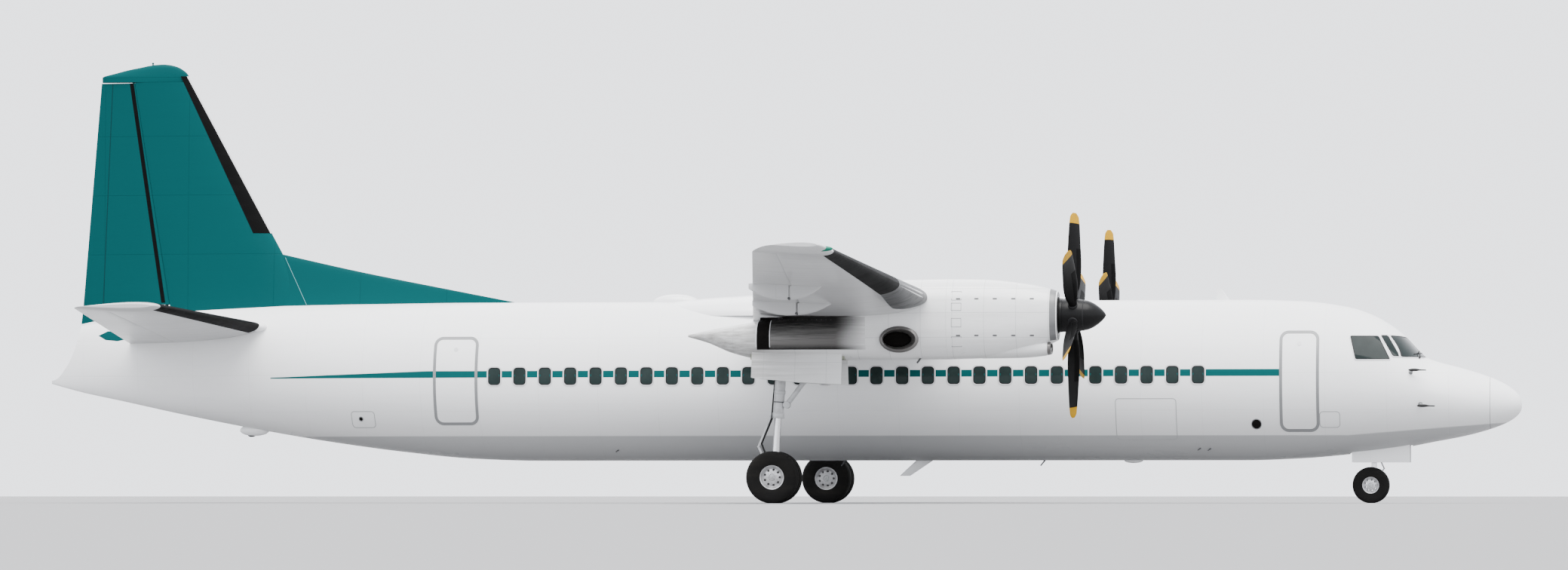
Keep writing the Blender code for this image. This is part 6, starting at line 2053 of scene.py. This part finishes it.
def make_main_gear(word, side):
    """A main leg with its piston, links, brace and hoses, its wheels and its doors."""
    y = side * ENGINE_Y
    z = MAIN_AXLE_Z
    _, front, half, top = MAIN_BAY
    head = Vector((MAIN_X + 0.15, y, top - 0.12))
    foot = Vector((MAIN_X, y, z))
    knee = foot + (head - foot) * 0.42
    axis = (head - foot).normalized()

    def collar(low, high, radius):
        return rod_form(knee + axis * low, knee + axis * high, radius, facets=48, bevel=0.006)

    leg = merge(rod_form(knee, head, 0.085, 0.095, facets=48), collar(0.0, 0.09, 0.103),
                collar(0.40, 0.46, 0.098), collar(0.80, 0.84, 0.101),
                cross_bar(head.x, y, head.z, half - 0.001, 0.06, 36, 0.004),
                cross_bar(head.x, y, head.z, 0.17, 0.085, 36, 0.008))
    piece(f"main_leg_case_{word}", leg, GEAR_PAINT, stands_for=(f"main_leg_{word}",))
    piece(f"main_piston_{word}", rod_form(foot + axis * 0.06, knee + axis * 0.01, 0.058, facets=48), CHROME)
    piece(f"main_axle_boss_{word}", cross_bar(MAIN_X, y, z, BOSS_HALF, 0.10, 48, 0.006), GEAR_PAINT)
    top_pin = knee + Vector((-0.115, 0, 0.04))
    mid_pin = Vector((MAIN_X - 0.26, y, (z + knee.z) / 2 + 0.02))
    low_pin = Vector((MAIN_X - 0.075, y, z + 0.10))
    links = [link_form(top_pin, mid_pin, 0.10, 0.03), link_form(low_pin, mid_pin, 0.10, 0.03)]
    for pin, reach in ((top_pin, 0.056), (mid_pin, 0.036), (low_pin, 0.056)):
        links.append(cross_bar(pin.x, y, pin.z, reach, 0.018, 20, 0.002))
    for pin, reach in ((top_pin, 0.06), (low_pin, 0.05)):
        links.append(
            box_form((pin.x - 0.01, y - 0.03, pin.z - 0.02), (pin.x + reach, y + 0.03, pin.z + 0.02), 0.006))
    piece(f"main_links_{word}", links, GEAR_PAINT)
    low = Vector((MAIN_X + 0.21, y, 1.62))
    high = Vector((front - 0.14, y, top - 0.10))
    along = (high - low).normalized()
    middle = (low + high) / 2
    brace = [rod_form(low, middle - along * 0.03, 0.042, facets=32), rod_form(middle, high, 0.036, facets=32),
             rod_form(middle - along * 0.10, middle + along * 0.02, 0.052, facets=32, bevel=0.005),
             cross_bar(low.x, y, low.z, 0.07, 0.06, 32, 0.006),
             cross_bar(high.x, y, high.z, 0.06, 0.05, 32, 0.005),
             rod_form((high.x, y, high.z - 0.03), (high.x, y, top - 0.001), 0.07, facets=32, bevel=0.004),
             rod_form((low.x - 0.14, y, low.z), (low.x, y, low.z), 0.045, facets=28)]
    piece(f"main_brace_arm_{word}", brace, GEAR_PAINT, stands_for=(f"main_brace_{word}",))
    bends = ((head, (-0.07, 0.06, -0.05)), (knee, (-0.075, 0.065, 0.32)), (knee, (-0.10, 0.07, 0.0)),
             (mid_pin, (0.05, 0.05, 0.05)), (low_pin, (0.03, 0.062, 0.03)), (foot, (-0.03, 0.058, 0.085)))
    hoses = [hose_form([point + Vector((ahead, edge * out, rise)) for point, (ahead, out, rise) in bends],
                       0.009) for edge in (-1, 1)]
    piece(f"brake_hoses_{word}", hoses, HOSE_BLACK)
    clips = [rod_form(knee + axis * at, knee + axis * (at + 0.018), 0.095, facets=40) for at in (0.26, 0.62)]
    piece(f"hose_clips_{word}", clips, GLOVE_METAL)
    starboard_to_port = ("inner", "outer")[::side]
    make_wheels(f"main_{word}", MAIN_X, y, z, MAIN_TYRE, MAIN_WHEEL_Y, 0.045, f"main_wheels_{word}",
                (f"main_rims_{word}", *(f"main_tyre_{which}_{word}" for which in starboard_to_port)))
    make_main_doors(word, side)


def make_main_doors(word, side):
    """The two open doors of a main wheel bay, each with two arms."""
    y = side * ENGINE_Y
    rear, front, half, _ = MAIN_BAY
    for place_word, edge in (("inner", -side), ("outer", side)):
        door_y = y + edge * (half + 0.035)
        rings = []
        for x, hang, out in ((rear + 0.03, 0.42, 0.10), (rear + 0.06, 0.425, 0.101), (0.9, 0.46, 0.115),
                             (front - 0.06, 0.495, 0.129), (front - 0.03, 0.50, 0.13)):
            roof = up(pod_low_at(x, half + 0.035)) + 0.012
            rings.append(door_ring(x, door_y, edge, roof, hang, 1.28 * out, -0.28 * out, 9))
        piece(f"main_door_{place_word}_{word}_skin", loft(rings), PAINT_NACELLE,
              stands_for=(f"main_door_{place_word}_{word}",))
        arms = [rod_form((x, y + edge * (half - 0.01), 2.44),
                         (x, door_y + edge * 0.055, up(pod_low_at(x, half)) - 0.20), 0.012, facets=14)
                for x in (0.32, 1.36)]
        piece(f"main_door_arms_{place_word}_{word}", arms, GEAR_PAINT)


def door_ring(x, y, edge, roof, hang, lean, bow, count):
    """One section of an open gear door, which hangs from a height and leans and bows out towards an edge."""
    ring = []
    for thickness, steps in ((DOOR_SHEET, range(count)), (0.0, reversed(range(count)))):
        for i in steps:
            t = i / (count - 1)
            ring.append((x, y + edge * (lean * t + bow * t * t + thickness), roof - hang * t))
    return ring


def pod_low_at(x, reach):
    """The height of a nacelle's underside at a distance out from its middle plane."""
    top, bottom, half = nacelle_at(x)
    c = min(1.0, reach / half) ** (1 / POD_POWER)
    s = math.sqrt(1 - c * c) ** POD_POWER
    return (top + bottom) / 2 - (top - bottom) / 2 * s


def upright(low, high, radius, facets=48, bevel=0.0):
    """A bar on the nose leg's own line."""
    return rod_form((NOSE_X, 0, low), (NOSE_X, 0, high), radius, facets=facets, bevel=bevel)


def make_nose_fork(axle_x, z, foot):
    """The fork below the leg's foot, with its piston, links and towing eye."""
    fork = merge(upright(foot - 0.06, foot - 0.001, 0.08, bevel=0.006),
                 rod_form((axle_x, 0, z + 0.01), (NOSE_X, 0, z + 0.15), 0.055, facets=36),
                 upright(z + 0.10, z + 0.19, 0.064, 40, 0.006),
                 cross_bar(axle_x, 0, z, BOSS_HALF, 0.075, 44, 0.005),
                 box_form((axle_x + 0.04, -0.035, z - 0.028), (axle_x + 0.12, 0.035, z + 0.028), 0.008))
    piece("nose_fork_casting", fork, GEAR_PAINT, body="nose_fork", stands_for=("nose_fork",))
    piece("nose_piston", upright(z + 0.12, foot - 0.02, 0.048), CHROME, body="nose_fork")
    top_pin = Vector((NOSE_X + 0.085, 0, foot - 0.04))
    mid_pin = Vector((NOSE_X + 0.17, 0, z + 0.28))
    low_pin = Vector((NOSE_X + 0.05, 0, z + 0.13))
    links = [link_form(top_pin, mid_pin, 0.075, 0.022), link_form(low_pin, mid_pin, 0.075, 0.022),
             box_form((NOSE_X + 0.05, -0.02, top_pin.z - 0.015), (top_pin.x + 0.005, 0.02, top_pin.z + 0.015),
                      0.004)]
    for pin, reach in ((top_pin, 0.042), (mid_pin, 0.028), (low_pin, 0.042)):
        links.append(cross_bar(pin.x, 0, pin.z, reach, 0.013, 18, 0.0015))
    piece("nose_links", links, GEAR_PAINT, body="nose_fork")
    piece("nose_tow_eye", cross_bar(axle_x + 0.10, 0, z, 0.044, 0.014, 20), CHROME, body="nose_fork")


def make_nose_gear():
    """The nose leg with its brace, jacks, lamp and hoses, then its fork, wheels and doors."""
    _, front, half, top = NOSE_BAY
    foot = NOSE_LEG_FOOT
    leg = merge(upright(foot, top - 0.001, 0.07), upright(foot, foot + 0.09, 0.084, bevel=0.006),
                upright(1.05, 1.09, 0.078, bevel=0.005),
                cross_bar(NOSE_X, 0, NOSE_PIVOT_Z, half - 0.001, 0.045, 32, 0.003),
                cross_bar(NOSE_X, 0, NOSE_PIVOT_Z, 0.12, 0.062, 32, 0.005))
    piece("nose_leg_case", leg, GEAR_PAINT, stands_for=("nose_leg",))
    piece("nose_brace", merge(rod_form((NOSE_X + 0.03, 0, 1.0), (front - 0.02, 0, 1.36), 0.028, facets=28),
                              cross_bar(NOSE_X + 0.03, 0, 1.0, 0.06, 0.04, 28, 0.004),
                              box_form((front - 0.06, -0.06, 1.30), (front - 0.001, 0.06, 1.42), 0.008)),
          GEAR_PAINT)
    make_nose_fork(NOSE_AXLE_X, NOSE_AXLE_Z, foot)
    jacks = []
    for edge in (-1, 1):
        jacks.append(rod_form((NOSE_X - 0.10, edge * 0.095, 0.93), (NOSE_X + 0.06, edge * 0.095, 0.93), 0.024,
                              facets=24, bevel=0.003))
        jacks.append(box_form((NOSE_X - 0.02, edge * 0.08 - 0.035, 0.90),
                              (NOSE_X + 0.02, edge * 0.08 + 0.005, 0.96), 0.005))
    piece("steering_jacks", jacks, GLOVE_METAL)
    lamp = [rod_form((NOSE_X + 0.05, 0, LAMP_Z), (NOSE_X + 0.13, 0, LAMP_Z), 0.055, 0.075, facets=36),
            rod_form((NOSE_X + 0.125, 0, LAMP_Z), (NOSE_X + 0.14, 0, LAMP_Z), 0.078, facets=36, bevel=0.004)]
    piece("taxi_lamp", lamp, GLOVE_METAL)
    piece("taxi_lamp_glass", sphere_form((NOSE_X + 0.139, 0, LAMP_Z), (0.012, 0.068, 0.068), 28), CLEAR_LENS)
    hoses = [hose_form([(NOSE_X - 0.06, side * 0.05, 1.30), (NOSE_X - 0.08, side * 0.05, 1.0),
                        (NOSE_X - 0.085, side * 0.045, 0.85)], 0.008) for side in (PORT, STARBOARD)]
    piece("nose_hoses", hoses, HOSE_BLACK)
    make_wheels("nose", NOSE_AXLE_X, 0.0, NOSE_AXLE_Z, NOSE_TYRE, NOSE_WHEEL_Y, 0.035, "nose_wheels",
                ("nose_rims", "nose_tyre_right", "nose_tyre_left"))
    make_nose_doors()


def make_nose_doors():
    """The two open doors of the nose wheel bay, each with two arms."""
    rear, front, half, _ = NOSE_BAY
    y = half + 0.02
    for word, side in SIDES:
        rings = []
        for x, skin in ((rear + 0.04, 0.105), (rear + 0.07, 0.109), (10.275, 0.165), (front - 0.07, 0.226),
                        (front - 0.04, 0.23)):
            middle = 1.25
            edge_z = up(middle - (middle - skin) * math.sqrt(1 - (y / 1.2) ** 2))
            rings.append(door_ring(x, side * y, side, edge_z + 0.02, edge_z - 0.665, 0.02, 0.0, 7))
        piece(f"nose_door_{word}_skin", loft(rings), PAINT_WHITE, stands_for=(f"nose_door_{word}",))
        arms = [rod_form((x, side * (half - 0.012), 1.02), (x, side * (y + 0.012), 0.83), 0.010, facets=14)
                for x in (rear + 0.16, front - 0.16)]
        piece(f"nose_door_arms_{word}", arms, GEAR_PAINT)


# Stage, light and camera

CAMERA_AT = (14.488, -109.002, 0.15)
CAMERA_TARGET = (0.138, 0.0, 3.713)
LENS = 148.23
SUN_TARGET = (0, 0, 2)


def make_stage():
    floor = bpy.data.meshes.new("floor")
    floor.from_pydata([(-220, -220, 0), (220, -220, 0), (220, 320, 0), (-220, 320, 0)], [], [(0, 1, 2, 3)])
    floor.materials.append(start_material("pale_floor", Base_Color=(0.25, 0.25, 0.254), Roughness=0.9,
                                          Specular_IOR_Level=0.1)[0])
    floor = bpy.data.objects.new("floor", floor)
    bpy.context.scene.collection.objects.link(floor)


def aimed(name, data, stands_at, target):
    """A lamp or camera that looks at a point."""
    obj = bpy.data.objects.new(name, data)
    obj.location = stands_at
    obj.rotation_euler = (Vector(target) - Vector(stands_at)).to_track_quat("-Z", "Y").to_euler()
    bpy.context.scene.collection.objects.link(obj)
    return obj


def make_sun(name, stands_at, strength, angle, colour=(1, 1, 1)):
    data = bpy.data.lights.new(name, "SUN")
    data.energy = strength
    data.color = colour
    data.angle = angle
    aimed(name, data, stands_at, SUN_TARGET)


def make_world():
    world = bpy.data.worlds.new("soft_sky")
    world.use_nodes = True
    sky = world.node_tree.nodes["Background"]
    sky.inputs["Color"].default_value = (0.93, 0.95, 1.0, 1)
    sky.inputs["Strength"].default_value = 2.7
    bpy.context.scene.world = world


def make_camera():
    data = bpy.data.cameras.new("camera")
    data.lens = LENS
    data.sensor_width = 36.0
    data.sensor_fit = "HORIZONTAL"
    data.clip_end = 1000
    bpy.context.scene.camera = aimed("camera", data, CAMERA_AT, CAMERA_TARGET)


make_fuselage()
make_cabin_windows()
make_doors()
make_stair_door()
make_cockpit()
make_fittings()
make_nose_bay()
make_wing()
make_fin()
make_tailplane()
make_power_plants()
for word, side in SIDES:
    make_main_gear(word, side)
make_nose_gear()

make_stage()
make_world()
make_sun("key", (12, -26, 80), 7.2, 0.9, (1.0, 0.985, 0.96))
make_sun("back", (-20, 60, 50), 0.8, 0.6)
make_camera()
